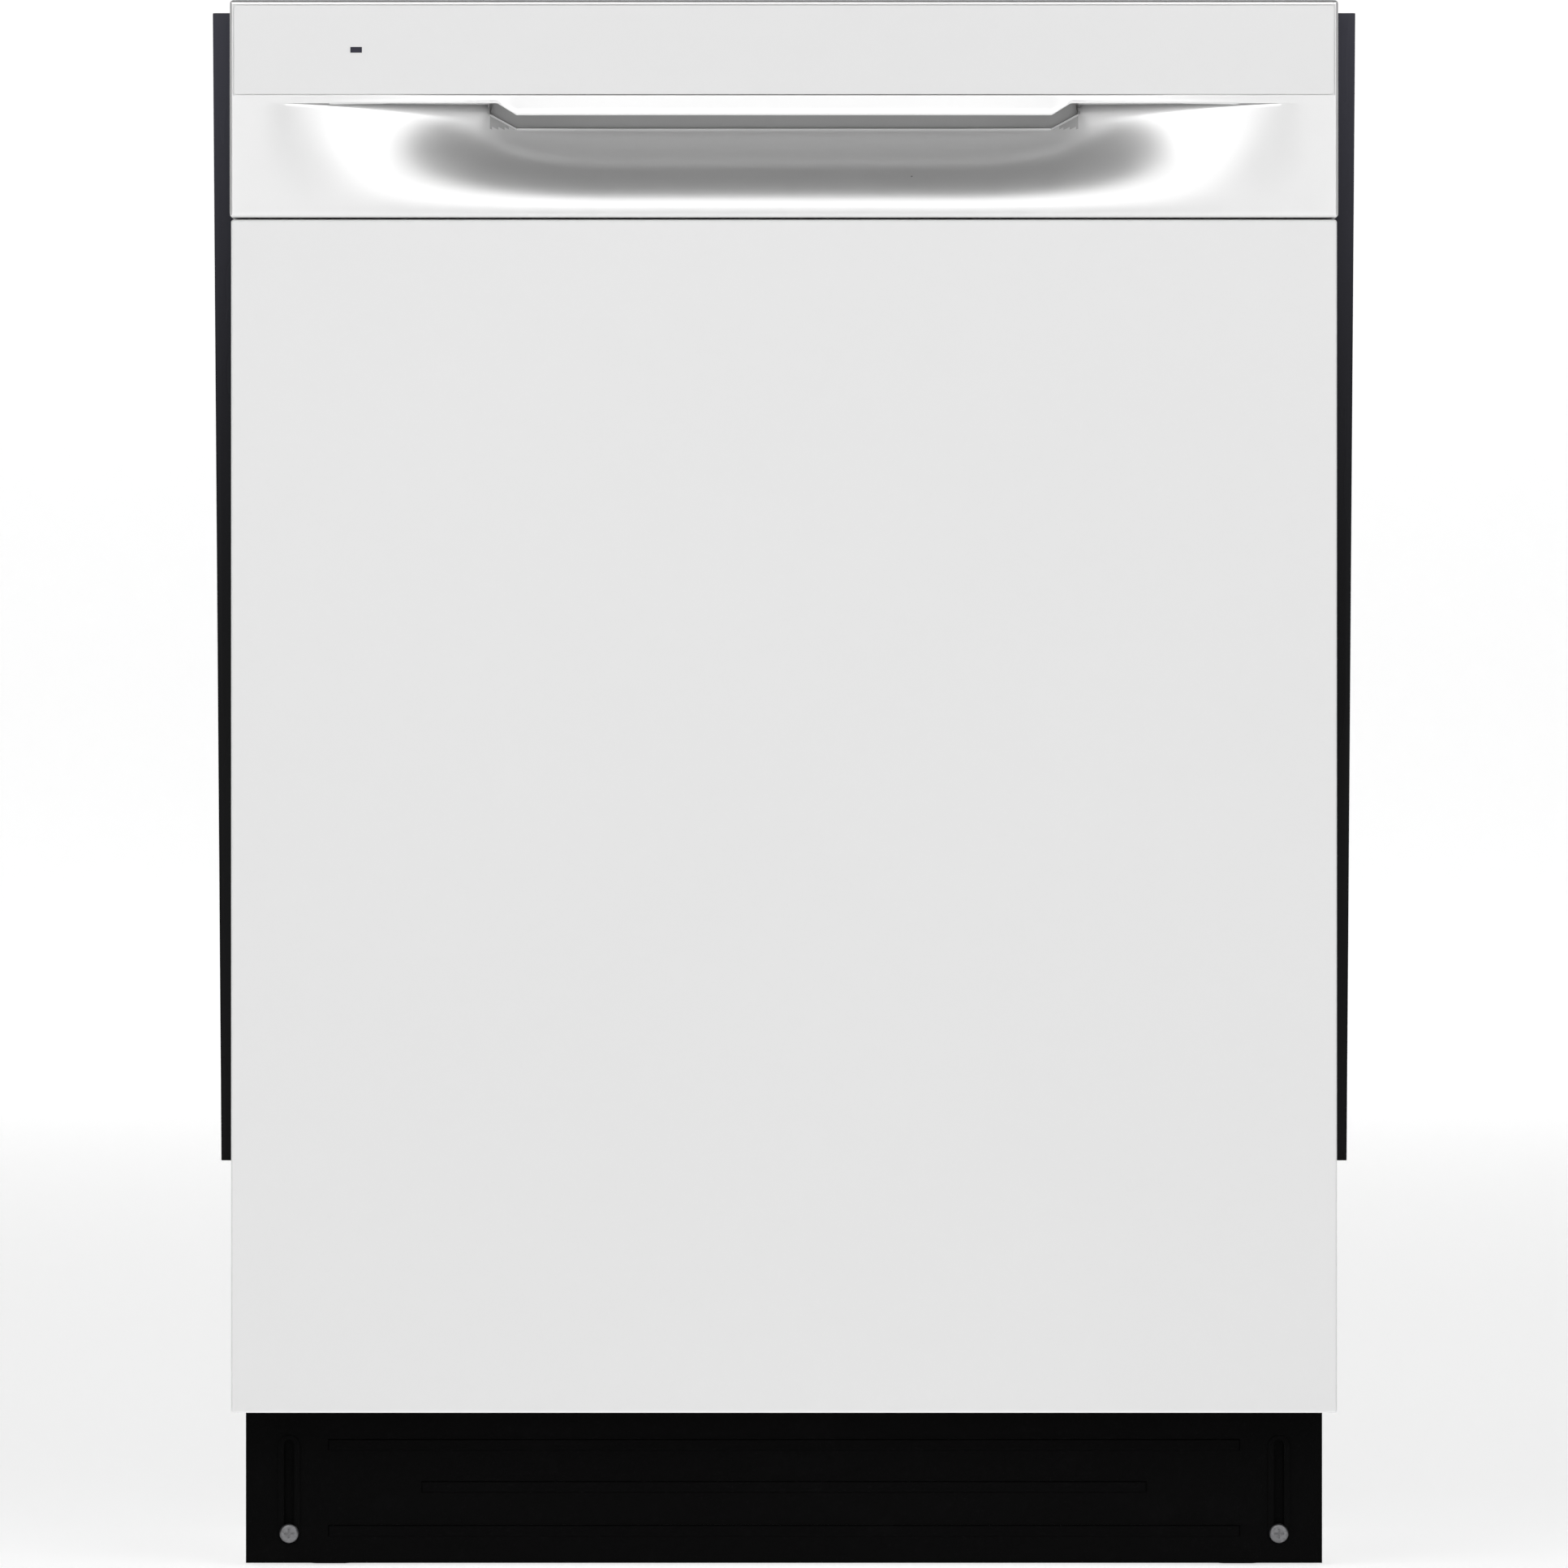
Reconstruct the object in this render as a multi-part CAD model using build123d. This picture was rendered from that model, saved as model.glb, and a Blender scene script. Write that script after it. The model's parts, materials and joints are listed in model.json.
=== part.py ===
"""Built-in dishwasher, 24 inch, top controls, pocket handle.

Frame: +X to the right as seen from the front, +Y to the rear, +Z up, millimetres.
The origin is on the floor, at the middle of the machine's overall width and depth.
"""
from build123d import *
from math import cos, radians, sin
import os

os.makedirs("parts", exist_ok=True)

# ---- overall sizes -------------------------------------------------------------------------
DOOR_WIDTH = 600.0
HEIGHT = 851.0
DEPTH = 635.0
FRONT = -DEPTH / 2
BACK = DEPTH / 2

# ---- door ----------------------------------------------------------------------------------
DOOR_THICK = 52.0
DOOR_INNER = FRONT + DOOR_THICK
DOOR_BOTTOM = 85.0
SEAM_LOW = 732.0
SEAM_HIGH = 733.0
PANEL_HALF = DOOR_WIDTH / 2 - 0.2
CONSOLE_HALF = DOOR_WIDTH / 2 + 0.5
SHEET = 2.0
CONSOLE_WALL = 3.0
HINGE_Y = -290.0
HINGE_Z = 105.0
PIN_R = 5.0
FIT = 0.05

# ---- scoop and pocket handle in the console ---------------------------------------------------
SCOOP_HALF = 271.0
SCOOP_FLAT = 130.0
SCOOP_LOW = 741.0
SCOOP_TOP = 795.0
SCOOP_DEEP = 24.0
LIP_HALF = 145.0
LIP_RAMP = 10.5
LIP_LOW = 788.5
POCKET_HALF = 157.0
POCKET_LOW = 782.0
POCKET_TOP = 797.0
POCKET_BACK = -287.0

# ---- tub -----------------------------------------------------------------------------------
TUB_HALF = 272.5
TUB_WALL = 2.5
TUB_FLOOR = 130.0
TUB_CEILING = 820.0
TUB_FRONT = -263.0
TUB_REAR = 300.0
COLLAR_HALF = 283.0
COLLAR_TOP = 830.5
COLLAR_REAR = -250.0
BASIN_R = 150.0
BASIN_Y = 70.0
BASIN_FLOOR = 114.0
SUMP_R = 95.0
ARM_Y = 20.0
FILTER_Y = 95.0
FILTER_R = 30.0
DROP_Y = 141.0

# ---- base ----------------------------------------------------------------------------------
TOE_FRONT = -250.0
TOE_HALF = 293.7
TOE_LOW = 0.8
TOE_TOP = 99.5
TOE_SCREW_X = 270.1
TOE_SCREW_Z = 17.0
TOE_SLOT_Z = 40.8
TOE_RIBS = ((65.3, 249.0), (42.3, 198.0), (18.4, 249.0))
RAIL_IN = 262.0
RAIL_OUT = 290.0
RAIL_LOW = 78.0
RAIL_TOP = 127.0
RAIL_FRONT = -247.0
LEG_X = 248.0
LEG_R = 6.0
LEG_YS = (-222.0, 283.0)

# ---- racks ---------------------------------------------------------------------------------
WIRE = 2.0
MESH = 1.7
UPPER_FLOOR = 520.0
UPPER_TOP = 640.0
UPPER_HALF = 238.0
UPPER_FRONT = -226.0
UPPER_BACK = 262.0
SLIDE_Z = 602.0
LOWER_FLOOR = 168.0
LOWER_TOP = 286.0
LOWER_HALF = 230.0
LOWER_FRONT = -235.0
LOWER_BACK = 262.0
WHEEL_R = 16.0
WHEEL_YS = (-125.0, -35.0, 75.0, 185.0)
AXLE_R = 4.0


# ---- helpers ---------------------------------------------------------------------------------
def block(x0, x1, y0, y1, z0, z1):
    """A box between two corners."""
    return Pos((x0 + x1) / 2, (y0 + y1) / 2, (z0 + z1) / 2) * Box(x1 - x0, y1 - y0, z1 - z0)


def rod(start, end, radius):
    """A round bar between two points."""
    a, b = Vector(*start), Vector(*end)
    plane = Plane(origin=a, z_dir=(b - a).normalized())
    return extrude(plane * Circle(radius), amount=(b - a).length)


def tube(start, end, outer, inner):
    """A round pipe between two points."""
    return rod(start, end, outer) - rod(start, end, inner)


def bent_rod(points, radius, bend, close=False):
    """A round bar along straight runs joined by arcs."""
    path = FilletPolyline(*points, radius=bend, close=close)
    return sweep(Plane(origin=path @ 0, z_dir=path % 0) * Circle(radius), path=path)


def upright(outline, x0, x1):
    """A plate cut to an outline of (y, z) points, standing between two x planes."""
    face = make_face(Polyline(*[(x0, y, z) for y, z in outline], close=True))
    return extrude(face, amount=x1 - x0, dir=(1, 0, 0))


def facing(outline, y0, y1):
    """A plate cut to an outline of (x, z) points, between two y planes."""
    face = make_face(Polyline(*[(x, y0, z) for x, z in outline], close=True))
    return extrude(face, amount=y1 - y0, dir=(0, 1, 0))


def steps(first, last, count):
    """Evenly spaced values from first to last."""
    return [first + (last - first) * i / (count - 1) for i in range(count)]


def mirrored(shape):
    """The same shape on the other side of the machine."""
    return mirror(shape, about=Plane.YZ)


def save(name, *shapes):
    """Write one node from its separate solids."""
    solids = []
    for shape in shapes:
        solids += shape.solids()
    part = Compound(children=solids) if len(solids) > 1 else solids[0]
    part.label = name
    export_step(part, f"parts/{name}.step")


# ---- console fascia --------------------------------------------------------------------------
def smooth(t):
    """Eases from 0 to 1."""
    t = min(max(t, 0.0), 1.0)
    return t * t * (3 - 2 * t)


def scoop(extra):
    """The scoop's hollow, or with extra the outside of the wall behind it."""
    low, top, front = SCOOP_LOW - extra, SCOOP_TOP + extra, FRONT - 12
    height = top - low
    shape = ((0.0, 0.0), (0.16, 0.08), (0.52, 0.19), (0.87, 0.33), (1.0, 0.55), (1.0, 0.92))
    sections = []
    for x in steps(-SCOOP_HALF - extra, SCOOP_HALF + extra, 13):
        share = smooth((SCOOP_HALF + extra - abs(x)) / (SCOOP_HALF - SCOOP_FLAT))
        deep = 0.05 + (SCOOP_DEEP + extra) * share
        wall = Spline(*[(x, FRONT + deep * d, low + height * h) for d, h in shape])
        roof = Polyline((x, FRONT + deep, low + height * 0.92), (x, FRONT, top), (x, front, top),
                        (x, front, low), (x, FRONT, low))
        sections.append(make_face([*wall.edges(), *roof.edges()]))
    return loft(sections)


def lip_outline(drop, widen):
    """The lip's lower edge as (x, z) points, lowered by drop and widened by widen."""
    half = LIP_HALF + widen
    return [(-half - LIP_RAMP, SCOOP_TOP - drop), (-half, LIP_LOW - drop),
            (half, LIP_LOW - drop), (half + LIP_RAMP, SCOOP_TOP - drop)]


BUTTONS = {"button_start": 200.0, "button_cycle": -200.0, "button_options": -150.0}
BUTTON_Y = -292.0
LENS_X = -232.0
LENS_Z = 824.0


def console_fascia():
    """Moulded shell with the scoop, the lip, the recess for the overlay and the button openings."""
    shell = block(-CONSOLE_HALF, CONSOLE_HALF, FRONT, -268, SEAM_HIGH, HEIGHT)
    shell = fillet(shell.edges().filter_by(Axis.Y), 2.2)
    front_edges = shell.faces().sort_by(Axis.Y)[0].edges()
    shell = fillet(front_edges, 1.2)
    shell -= block(-CONSOLE_HALF + CONSOLE_WALL, CONSOLE_HALF - CONSOLE_WALL, FRONT + CONSOLE_WALL,
                   -260, SEAM_HIGH + CONSOLE_WALL, HEIGHT - CONSOLE_WALL)
    behind = scoop(2.5) & block(-300, 300, FRONT + 0.5, -260, SEAM_HIGH, HEIGHT)
    shell = shell + behind - scoop(0.0)
    mouth = facing(lip_outline(6.5, 1.0) + [(POCKET_HALF, POCKET_TOP), (-POCKET_HALF, POCKET_TOP)],
                   FRONT + CONSOLE_WALL, -270)
    shell -= mouth
    lip = facing(lip_outline(0.0, 0.0) + [(LIP_HALF + LIP_RAMP, POCKET_TOP + 4),
                                          (-LIP_HALF - LIP_RAMP, POCKET_TOP + 4)],
                 FRONT, FRONT + CONSOLE_WALL)
    shell += lip
    shell -= block(-298.3, 298.3, FRONT - 1, FRONT + 1.7, 799.7, 848.3)
    shell -= block(LENS_X - 3.2, LENS_X + 3.2, FRONT - 1, FRONT + 6, LENS_Z - 1.6, LENS_Z + 1.6)
    for x in BUTTONS.values():
        shell -= block(x - 10.4, x + 10.4, BUTTON_Y - 5.4, BUTTON_Y + 5.4, HEIGHT - 5, HEIGHT + 1)
    shell -= block(-290, 290, -282, -260, SEAM_HIGH - 5, LINER_TOP + 0.5)
    return max(shell.solids(), key=lambda s: s.volume)


def fascia_overlay():
    """Flush plate over the upper part of the console."""
    plate = block(-298, 298, FRONT, FRONT + 1.6, 800, 848)
    plate = fillet(plate.edges().filter_by(Axis.Y), 1.8)
    return plate - block(LENS_X - 3.2, LENS_X + 3.2, FRONT - 1, FRONT + 6, LENS_Z - 1.6, LENS_Z + 1.6)


def indicator_lens():
    """Small window of the running light."""
    return block(LENS_X - 3.1, LENS_X + 3.1, FRONT + 0.1, FRONT + 4.5, LENS_Z - 1.5, LENS_Z + 1.5)


def handle_pocket():
    """Channel behind the lip that the fingers hook into, open to the front and below."""
    outer = block(-POCKET_HALF - 2, POCKET_HALF + 2, FRONT + CONSOLE_WALL + 0.2, POCKET_BACK + 2,
                  POCKET_LOW + 4, POCKET_TOP + 2)
    inner = block(-POCKET_HALF + 0.5, POCKET_HALF - 0.5, FRONT + CONSOLE_WALL + 2, POCKET_BACK,
                  POCKET_LOW - 4, POCKET_TOP)
    outer += block(-POCKET_HALF + 2, POCKET_HALF - 2, POCKET_BACK, POCKET_BACK + 2,
                   POCKET_LOW - 6, POCKET_TOP)
    return outer - inner - scoop(2.6)


def push_button(x):
    """Key cap with a stem that reaches the switch below it."""
    cap = block(x - 10, x + 10, BUTTON_Y - 5, BUTTON_Y + 5, HEIGHT - 4, HEIGHT)
    cap = fillet(cap.edges().filter_by(Axis.Z), 1.5)
    return cap + block(x - 3, x + 3, BUTTON_Y - 3, BUTTON_Y + 3, HEIGHT - 9, HEIGHT - 4)


# ---- door ------------------------------------------------------------------------------------
NOTCH_IN = 259.0
NOTCH_OUT = 281.0
LINER_HALF = 289.0
LINER_LOW = 94.0
LINER_TOP = 834.0
LINER_FRONT = -281.0
DISPENSER = (-105.0, 95.0, 400.0, 500.0)
CUP = (-95.0, -5.0, 425.0, 480.0)
CAP_X = 52.0
CAP_Z = 452.0


def door_panel():
    """Painted steel skin folded back round the door's edges."""
    pan = block(-PANEL_HALF, PANEL_HALF, FRONT + 0.5, -270, DOOR_BOTTOM, SEAM_LOW)
    pan = fillet(pan.edges().filter_by(Axis.Y), 1.5)
    pan = fillet(pan.faces().sort_by(Axis.Y)[0].edges(), 1.2)
    pan -= block(-PANEL_HALF + SHEET, PANEL_HALF - SHEET, FRONT + 0.5 + SHEET, -260,
                 DOOR_BOTTOM + SHEET, SEAM_LOW + 5)
    for side in (-1, 1):
        xs = sorted((side * NOTCH_IN, side * NOTCH_OUT))
        pan -= block(xs[0], xs[1], -309, -260, DOOR_BOTTOM - 5, DOOR_BOTTOM + 8)
    return pan


def inner_liner():
    """Steel inner door pan that closes the tub, with an opening for the dispenser."""
    pan = block(-LINER_HALF, LINER_HALF, LINER_FRONT, DOOR_INNER, LINER_LOW, LINER_TOP)
    pan = fillet(pan.edges().filter_by(Axis.Y), 8)
    pan -= block(-LINER_HALF + SHEET, LINER_HALF - SHEET, LINER_FRONT - 5, DOOR_INNER - SHEET,
                 LINER_LOW + SHEET, LINER_TOP - SHEET)
    for side in (-1, 1):
        xs = sorted((side * NOTCH_IN, side * (LINER_HALF + 5)))
        pan -= block(xs[0], xs[1], -300, -255, LINER_LOW - 5, 128)
    x0, x1, z0, z1 = DISPENSER
    pan -= block(x0 + 4, x1 - 4, -300, -255, z0 + 4, z1 - 4)
    return pan


def dispenser_body():
    """Detergent cup and rinse-aid tank in one moulding."""
    x0, x1, z0, z1 = DISPENSER
    body = block(x0 + 4.2, x1 - 4.2, -299, DOOR_INNER, z0 + 4.2, z1 - 4.2)
    body += block(x0 - 4, x1 + 4, -271.5, -267.6, z0 - 4, z1 + 4)
    a, b, c, d = CUP
    body -= fillet(block(a, b, -290, -260, c, d).edges().filter_by(Axis.Y), 8)
    body -= rod((CAP_X, -285, CAP_Z), (CAP_X, -260, CAP_Z), 15.0)
    return body


def dispenser_lid():
    """Cover that slides down off the detergent cup."""
    a, b, c, d = CUP
    lid = block(a - 5, b + 5, -265.1, -260.5, c - 5, d + 6)
    lid = fillet(lid.edges().filter_by(Axis.Y), 5)
    lid = fillet(lid.faces().sort_by(Axis.Y)[-1].edges(), 1.5)
    return lid + block(a + 30, b - 30, -260.6, -257, d - 8, d - 2)


def rinse_aid_cap():
    """Quarter-turn cap with a grip bar."""
    cap = rod((CAP_X, -278, CAP_Z), (CAP_X, -264.9, CAP_Z), 15.0 - FIT)
    cap += rod((CAP_X, -265.1, CAP_Z), (CAP_X, -262, CAP_Z), 19)
    return cap + block(CAP_X - 16, CAP_X + 16, -262.1, -258, CAP_Z - 3, CAP_Z + 3)


def hinge_arm():
    """Right door arm: plate up the door's edge, hub round the pin, horn for the spring."""
    plate = upright([(-312, 118), (-284, 118), (-284, 400), (-312, 400)], 269, 272)
    hub = rod((269, HINGE_Y, HINGE_Z), (272, HINGE_Y, HINGE_Z), 11)
    neck = upright([(-301, 105), (-284, 105), (-284, 120), (-301, 120)], 269, 272)
    flange = block(269, 292, -314.9, -312, 150, 390)
    arm = plate + hub + neck + flange
    return arm - rod((268, HINGE_Y, HINGE_Z), (273, HINGE_Y, HINGE_Z), PIN_R + FIT)


LATCH_Z = 841.0


def latch_housing():
    """Box in the door's top that the strike enters from behind."""
    box = block(-32, 32, -311, -269.3, 834.6, 847.8)
    box -= block(-16, 16, -306, -260, LATCH_Z - 3, LATCH_Z + 5)
    return box


def latch_catch():
    """Sprung pawl that presses on the strike from above."""
    pivot = rod((-14, -302, LATCH_Z + 2), (14, -302, LATCH_Z + 2), 2)
    pawl = block(-10, 10, -302, -284, LATCH_Z + 1.4, LATCH_Z + 2.8)
    return pivot + pawl


def strike_plate():
    """Tongue on the tub's top flange that the latch closes over."""
    foot = block(-30, 30, -261, -259, 838.2, 846)
    tongue = block(-13, 13, -290, -259, LATCH_Z - 1, LATCH_Z + 1)
    return foot + tongue


def control_housing():
    """Case of the control board, below the buttons."""
    box = block(-240, 240, -312, -283, 808, 840)
    box -= block(-34, 34, -320, -260, 833, 850)
    return box - block(-236, 236, -309, -286, 805, 831)


def bottom_seal():
    """Rubber strip along the front of the tub's sill."""
    return block(-256, 256, -265.1, TUB_FRONT, 119, 128)


def door_screws():
    """Screws through the liner's edge."""
    screws = []
    for z in steps(160, 800, 5):
        for side in (-1, 1):
            x = side * 286
            head = rod((x, DOOR_INNER, z), (x, DOOR_INNER + 0.9, z), 2.5)
            screws.append(head)
    return screws


# ---- cabinet -----------------------------------------------------------------------------------
ELEMENT_X = 200.0
ELEMENT_Z = 138.0
FLOAT_X = -205.0
FLOAT_Y = -212.0


def tub():
    """Stainless wash tub with a stepped mouth for the gasket and a round basin in its floor."""
    body = block(-TUB_HALF - TUB_WALL, TUB_HALF + TUB_WALL, COLLAR_REAR, TUB_REAR + TUB_WALL,
                 TUB_FLOOR - 2, TUB_CEILING + 2)
    body = fillet(body.edges().filter_by(Axis.Y), 22)
    collar = block(-COLLAR_HALF - TUB_WALL, COLLAR_HALF + TUB_WALL, TUB_FRONT, COLLAR_REAR + 2,
                   TUB_FLOOR - 2, COLLAR_TOP + TUB_WALL)
    flange = block(-292, 292, TUB_FRONT, TUB_FRONT + 2, 118, 838)
    basin = Pos(0, BASIN_Y, (BASIN_FLOOR + TUB_FLOOR) / 2 - 1) * Cylinder(
        BASIN_R + 2, TUB_FLOOR - BASIN_FLOOR + 2)
    body = body + collar + flange + basin
    cavity = block(-TUB_HALF, TUB_HALF, TUB_FRONT - 5, TUB_REAR, TUB_FLOOR, TUB_CEILING)
    cavity = fillet(cavity.edges().filter_by(Axis.Y).group_by(Axis.Z)[-1], 20)
    cavity = fillet(cavity.edges().filter_by(Axis.Y).group_by(Axis.Z)[0], 7)
    body -= cavity
    body -= block(-COLLAR_HALF, COLLAR_HALF, TUB_FRONT - 5, COLLAR_REAR, TUB_FLOOR, COLLAR_TOP)
    body -= Pos(0, BASIN_Y, TUB_FLOOR) * Cylinder(BASIN_R, 2 * (TUB_FLOOR - BASIN_FLOOR))
    body -= Pos(0, BASIN_Y, BASIN_FLOOR) * Cylinder(SUMP_R - 8, 20)
    for side in (-1, 1):
        xs = sorted((side * 262, side * 300))
        body -= block(xs[0], xs[1], TUB_FRONT - 5, COLLAR_REAR + 3, 110, RAIL_TOP + 3)
        body -= rod((side * ELEMENT_X, 200, 100), (side * ELEMENT_X, 200, 135), 5.0)
    body = max(body.solids(), key=lambda s: s.volume)
    return body + rod((FLOAT_X, FLOAT_Y, TUB_FLOOR - 1), (FLOAT_X, FLOAT_Y, 146), 8)


def tub_gasket():
    """Rubber seal round the tub's mouth: one bar along each side and one along the top."""
    low, top, half, width = 150.0, COLLAR_TOP - 0.2, COLLAR_HALF - 0.2, 9.0
    side = block(half - width, half, -265.2, COLLAR_REAR, low, top - width)
    head = block(-half, half, -265.2, COLLAR_REAR, top - width, top)
    return [side, mirrored(side), head]


def insulation():
    """Sound and heat mats on the tub's sides, top and back."""
    side = block(TUB_HALF + TUB_WALL + 0.3, 291, -246, 299, 150, 800)
    top = block(-250, 250, -246, 299, TUB_CEILING + 2.3, 838)
    back = block(-250, 250, TUB_REAR + TUB_WALL + 0.3, BACK, 150, 800)
    return [side, mirrored(side), top, back]


def base_frame():
    """Two side channels, a front member that carries the toe kick, and a rear member."""
    side = block(RAIL_IN, RAIL_OUT, RAIL_FRONT, 302, RAIL_LOW, RAIL_TOP)
    side -= block(RAIL_IN + 3, RAIL_OUT + 5, -260, 310, RAIL_LOW + 3, RAIL_TOP - 3)
    for y in LEG_YS:
        side += block(LEG_X - 13, RAIL_IN + 1, y - 13, y + 13, RAIL_LOW, RAIL_LOW + 20)
        side -= rod((LEG_X, y, RAIL_LOW - 5), (LEG_X, y, RAIL_LOW + 25), LEG_R + FIT)
    front = block(-290, 290, -245, -242, 50, RAIL_LOW)
    for x in (-TOE_SCREW_X, TOE_SCREW_X):
        front += block(x - 10, x + 10, -245, -242, 6, 55)
        front -= rod((x, -250, TOE_SCREW_Z), (x, -240, TOE_SCREW_Z), 2.2)
    rear = block(-261.8, 261.8, 298, 302, 80, 112)
    return [side, mirrored(side), front, rear]


def hinge_bracket():
    """Right hinge bracket with its pin."""
    plate = upright([(-296, 101), (-225, 101), (-225, 118), (-285, 118), (-296, 113)], 265.2, 268.2)
    hub = rod((265.2, HINGE_Y, HINGE_Z), (268.2, HINGE_Y, HINGE_Z), 10)
    pin = rod((265.2, HINGE_Y, HINGE_Z), (274.5, HINGE_Y, HINGE_Z), PIN_R)
    head = rod((272.6, HINGE_Y, HINGE_Z), (274.5, HINGE_Y, HINGE_Z), 7.5)
    return plate + hub + pin + head


def door_spring():
    """Right door spring: close-wound coil in the side channel with a wire link to the door's arm."""
    x, z = 278.0, 108.0
    radius, wire, turns, link_r = 7.0, 1.6, 40, 1.4
    y0 = -190.0
    y1 = y0 + 2 * wire * turns
    edges = [*Polyline((x, y0, z), (x, y0, z + radius)).edges()]
    for i in range(turns):
        a = y0 + 2 * wire * i
        b = a + 2 * wire
        crest = (x, a + wire, z + radius + wire)
        edges += ThreePointArc((x, a, z + radius), crest, (x, b, z + radius)).edges()
    edges += Polyline((x, y1, z + radius), (x, y1, z), (x, y0, z)).edges()
    coil = revolve(make_face(edges), axis=Axis((x, 0, z), (0, 1, 0)))
    coil -= rod((x, y0 - 1, z), (x, y1 + 1, z), radius - wire)
    hook = [(x, y0 + 4, z + radius - 1), (x, y0 - 8, z + 4), (275.2, -265, 122), (275.2, -286, 130)]
    link = bent_rod(hook, link_r, 3)
    tail = bent_rod([(x, y1 - 2, z - radius + 0.6), (x, y1 + 14, z - 3), (x, y1 + 26, z)], link_r, 4)
    return coil + link + tail


def side_seal():
    """Right flexible strip that closes the gap to the neighbouring cupboard."""
    return facing([(286.4, 220.7), (306.8, 220.7), (311.5, 846.3), (286.4, 846.3)], -261, -259)


def mounting_bracket():
    """Right tab that screws up into the underside of the worktop."""
    tab = block(200, 240, -261, -259, COLLAR_TOP + 2.7, 848)
    tab += block(200, 240, -261, -232, 846, 848)
    return tab - rod((220, -245, 840), (220, -245, 850), 2.5)


def toe_kick():
    """Black steel plate with three long ribs and two slotted pads."""
    plate = block(-TOE_HALF, TOE_HALF, TOE_FRONT, TOE_FRONT + 1.5, TOE_LOW, TOE_TOP)
    for z, half in TOE_RIBS:
        rib = block(-half, half, TOE_FRONT - 0.8, TOE_FRONT + 0.5, z - 3.2, z + 3.2)
        plate += chamfer(rib.faces().sort_by(Axis.Y)[0].edges(), 0.7)
    for x in (-TOE_SCREW_X, TOE_SCREW_X):
        face = Plane(origin=(x, TOE_FRONT, TOE_SLOT_Z), x_dir=(0, 0, 1), z_dir=(0, -1, 0))
        pad = extrude(face * SlotOverall(59, 12), amount=1.5, both=True)
        plate += pad & block(x - 10, x + 10, TOE_FRONT - 1.5, TOE_FRONT + 1, 0, 90)
        plate -= extrude(face * SlotOverall(54.6, 5.6), amount=5, both=True)
    return plate


def toe_kick_screws():
    """Cross-head screws that hold the toe kick through its slots."""
    screws = []
    for x in (-TOE_SCREW_X, TOE_SCREW_X):
        head = rod((x, TOE_FRONT - 4, TOE_SCREW_Z), (x, TOE_FRONT - 1.8, TOE_SCREW_Z), 5.3)
        head = fillet(head.faces().sort_by(Axis.Y)[0].edges(), 1.5)
        shank = rod((x, TOE_FRONT - 2, TOE_SCREW_Z), (x, -236, TOE_SCREW_Z), 2.15)
        screw = head + shank
        screw -= block(x - 2.6, x + 2.6, TOE_FRONT - 5, TOE_FRONT - 2.8, TOE_SCREW_Z - 0.5, TOE_SCREW_Z + 0.5)
        screw -= block(x - 0.5, x + 0.5, TOE_FRONT - 5, TOE_FRONT - 2.8, TOE_SCREW_Z - 2.6, TOE_SCREW_Z + 2.6)
        screws.append(screw)
    return screws


def leg(x, y):
    """Levelling leg: threaded stem with a hexagonal foot."""
    stem = rod((x, y, 3), (x, y, 126), LEG_R)
    foot = extrude(Plane(origin=(x, y, 0)) * RegularPolygon(16, 6), amount=6)
    return stem + foot


# ---- water path ----------------------------------------------------------------------------------
def sump():
    """Moulded bowl under the tub with the standpipe of the lower spray arm."""
    bowl = Pos(0, BASIN_Y, 78) * Cylinder(SUMP_R - 8.5, 66)
    bowl += Pos(0, BASIN_Y, 106) * Cylinder(SUMP_R + 8, 10)
    bowl -= Pos(0, BASIN_Y, 81) * Cylinder(SUMP_R - 11.5, 66)
    pipe = tube((0, ARM_Y, 48), (0, ARM_Y, 156), 13, 10)
    bowl += pipe
    bowl += tube((84, BASIN_Y, 72), (104, BASIN_Y, 72), 16, 13)
    bowl += tube((-84, BASIN_Y, 64), (-100, BASIN_Y, 64), 12, 9)
    bowl -= rod((60, BASIN_Y, 72), (106, BASIN_Y, 72), 13)
    bowl -= rod((-60, BASIN_Y, 64), (-106, BASIN_Y, 64), 9)
    return bowl


def filter_screen():
    """Flat perforated plate round the filter."""
    plate = Pos(0, BASIN_Y, BASIN_FLOOR + 1) * Cylinder(BASIN_R - 2, 2)
    plate -= rod((0, FILTER_Y, 100), (0, FILTER_Y, 130), FILTER_R + 0.5)
    plate -= rod((0, ARM_Y, 100), (0, ARM_Y, 130), 13.2)
    return plate - rod((0, DROP_Y, 100), (0, DROP_Y, 130), 11.5)


def filter_cylinder():
    """Fine filter cup with a grip across its top, locked by a quarter turn."""
    cup = tube((0, FILTER_Y, 60), (0, FILTER_Y, 140), FILTER_R - 2, FILTER_R - 4.5)
    cup += tube((0, FILTER_Y, BASIN_FLOOR + 2.4), (0, FILTER_Y, 122), FILTER_R + 3, FILTER_R - 4.5)
    return cup + block(-FILTER_R + 3, FILTER_R - 3, FILTER_Y - 3, FILTER_Y + 3, 132, 141)


def feed_tube():
    """Conduit along the floor, up the rear wall and forward under the ceiling to the top nozzle."""
    duct = block(-14, 14, 130, 299, 131, 143)
    duct += block(-14, 14, 286, 299, 131, 812)
    duct += block(-14, 14, ARM_Y - 14, 299, 800, 812)
    duct += rod((0, DROP_Y, 100), (0, DROP_Y, 132), 11)
    duct += rod((0, 276, 505), (0, 290, 505), 13)
    duct += rod((0, ARM_Y, 790), (0, ARM_Y, 802), 26)
    duct -= rod((0, 270, 505), (0, 288, 505), 9)
    for angle in range(0, 360, 45):
        x, y = 16 * cos(radians(angle)), ARM_Y + 16 * sin(radians(angle))
        duct -= rod((x, y, 785), (x, y, 796), 2)
    return duct


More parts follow.
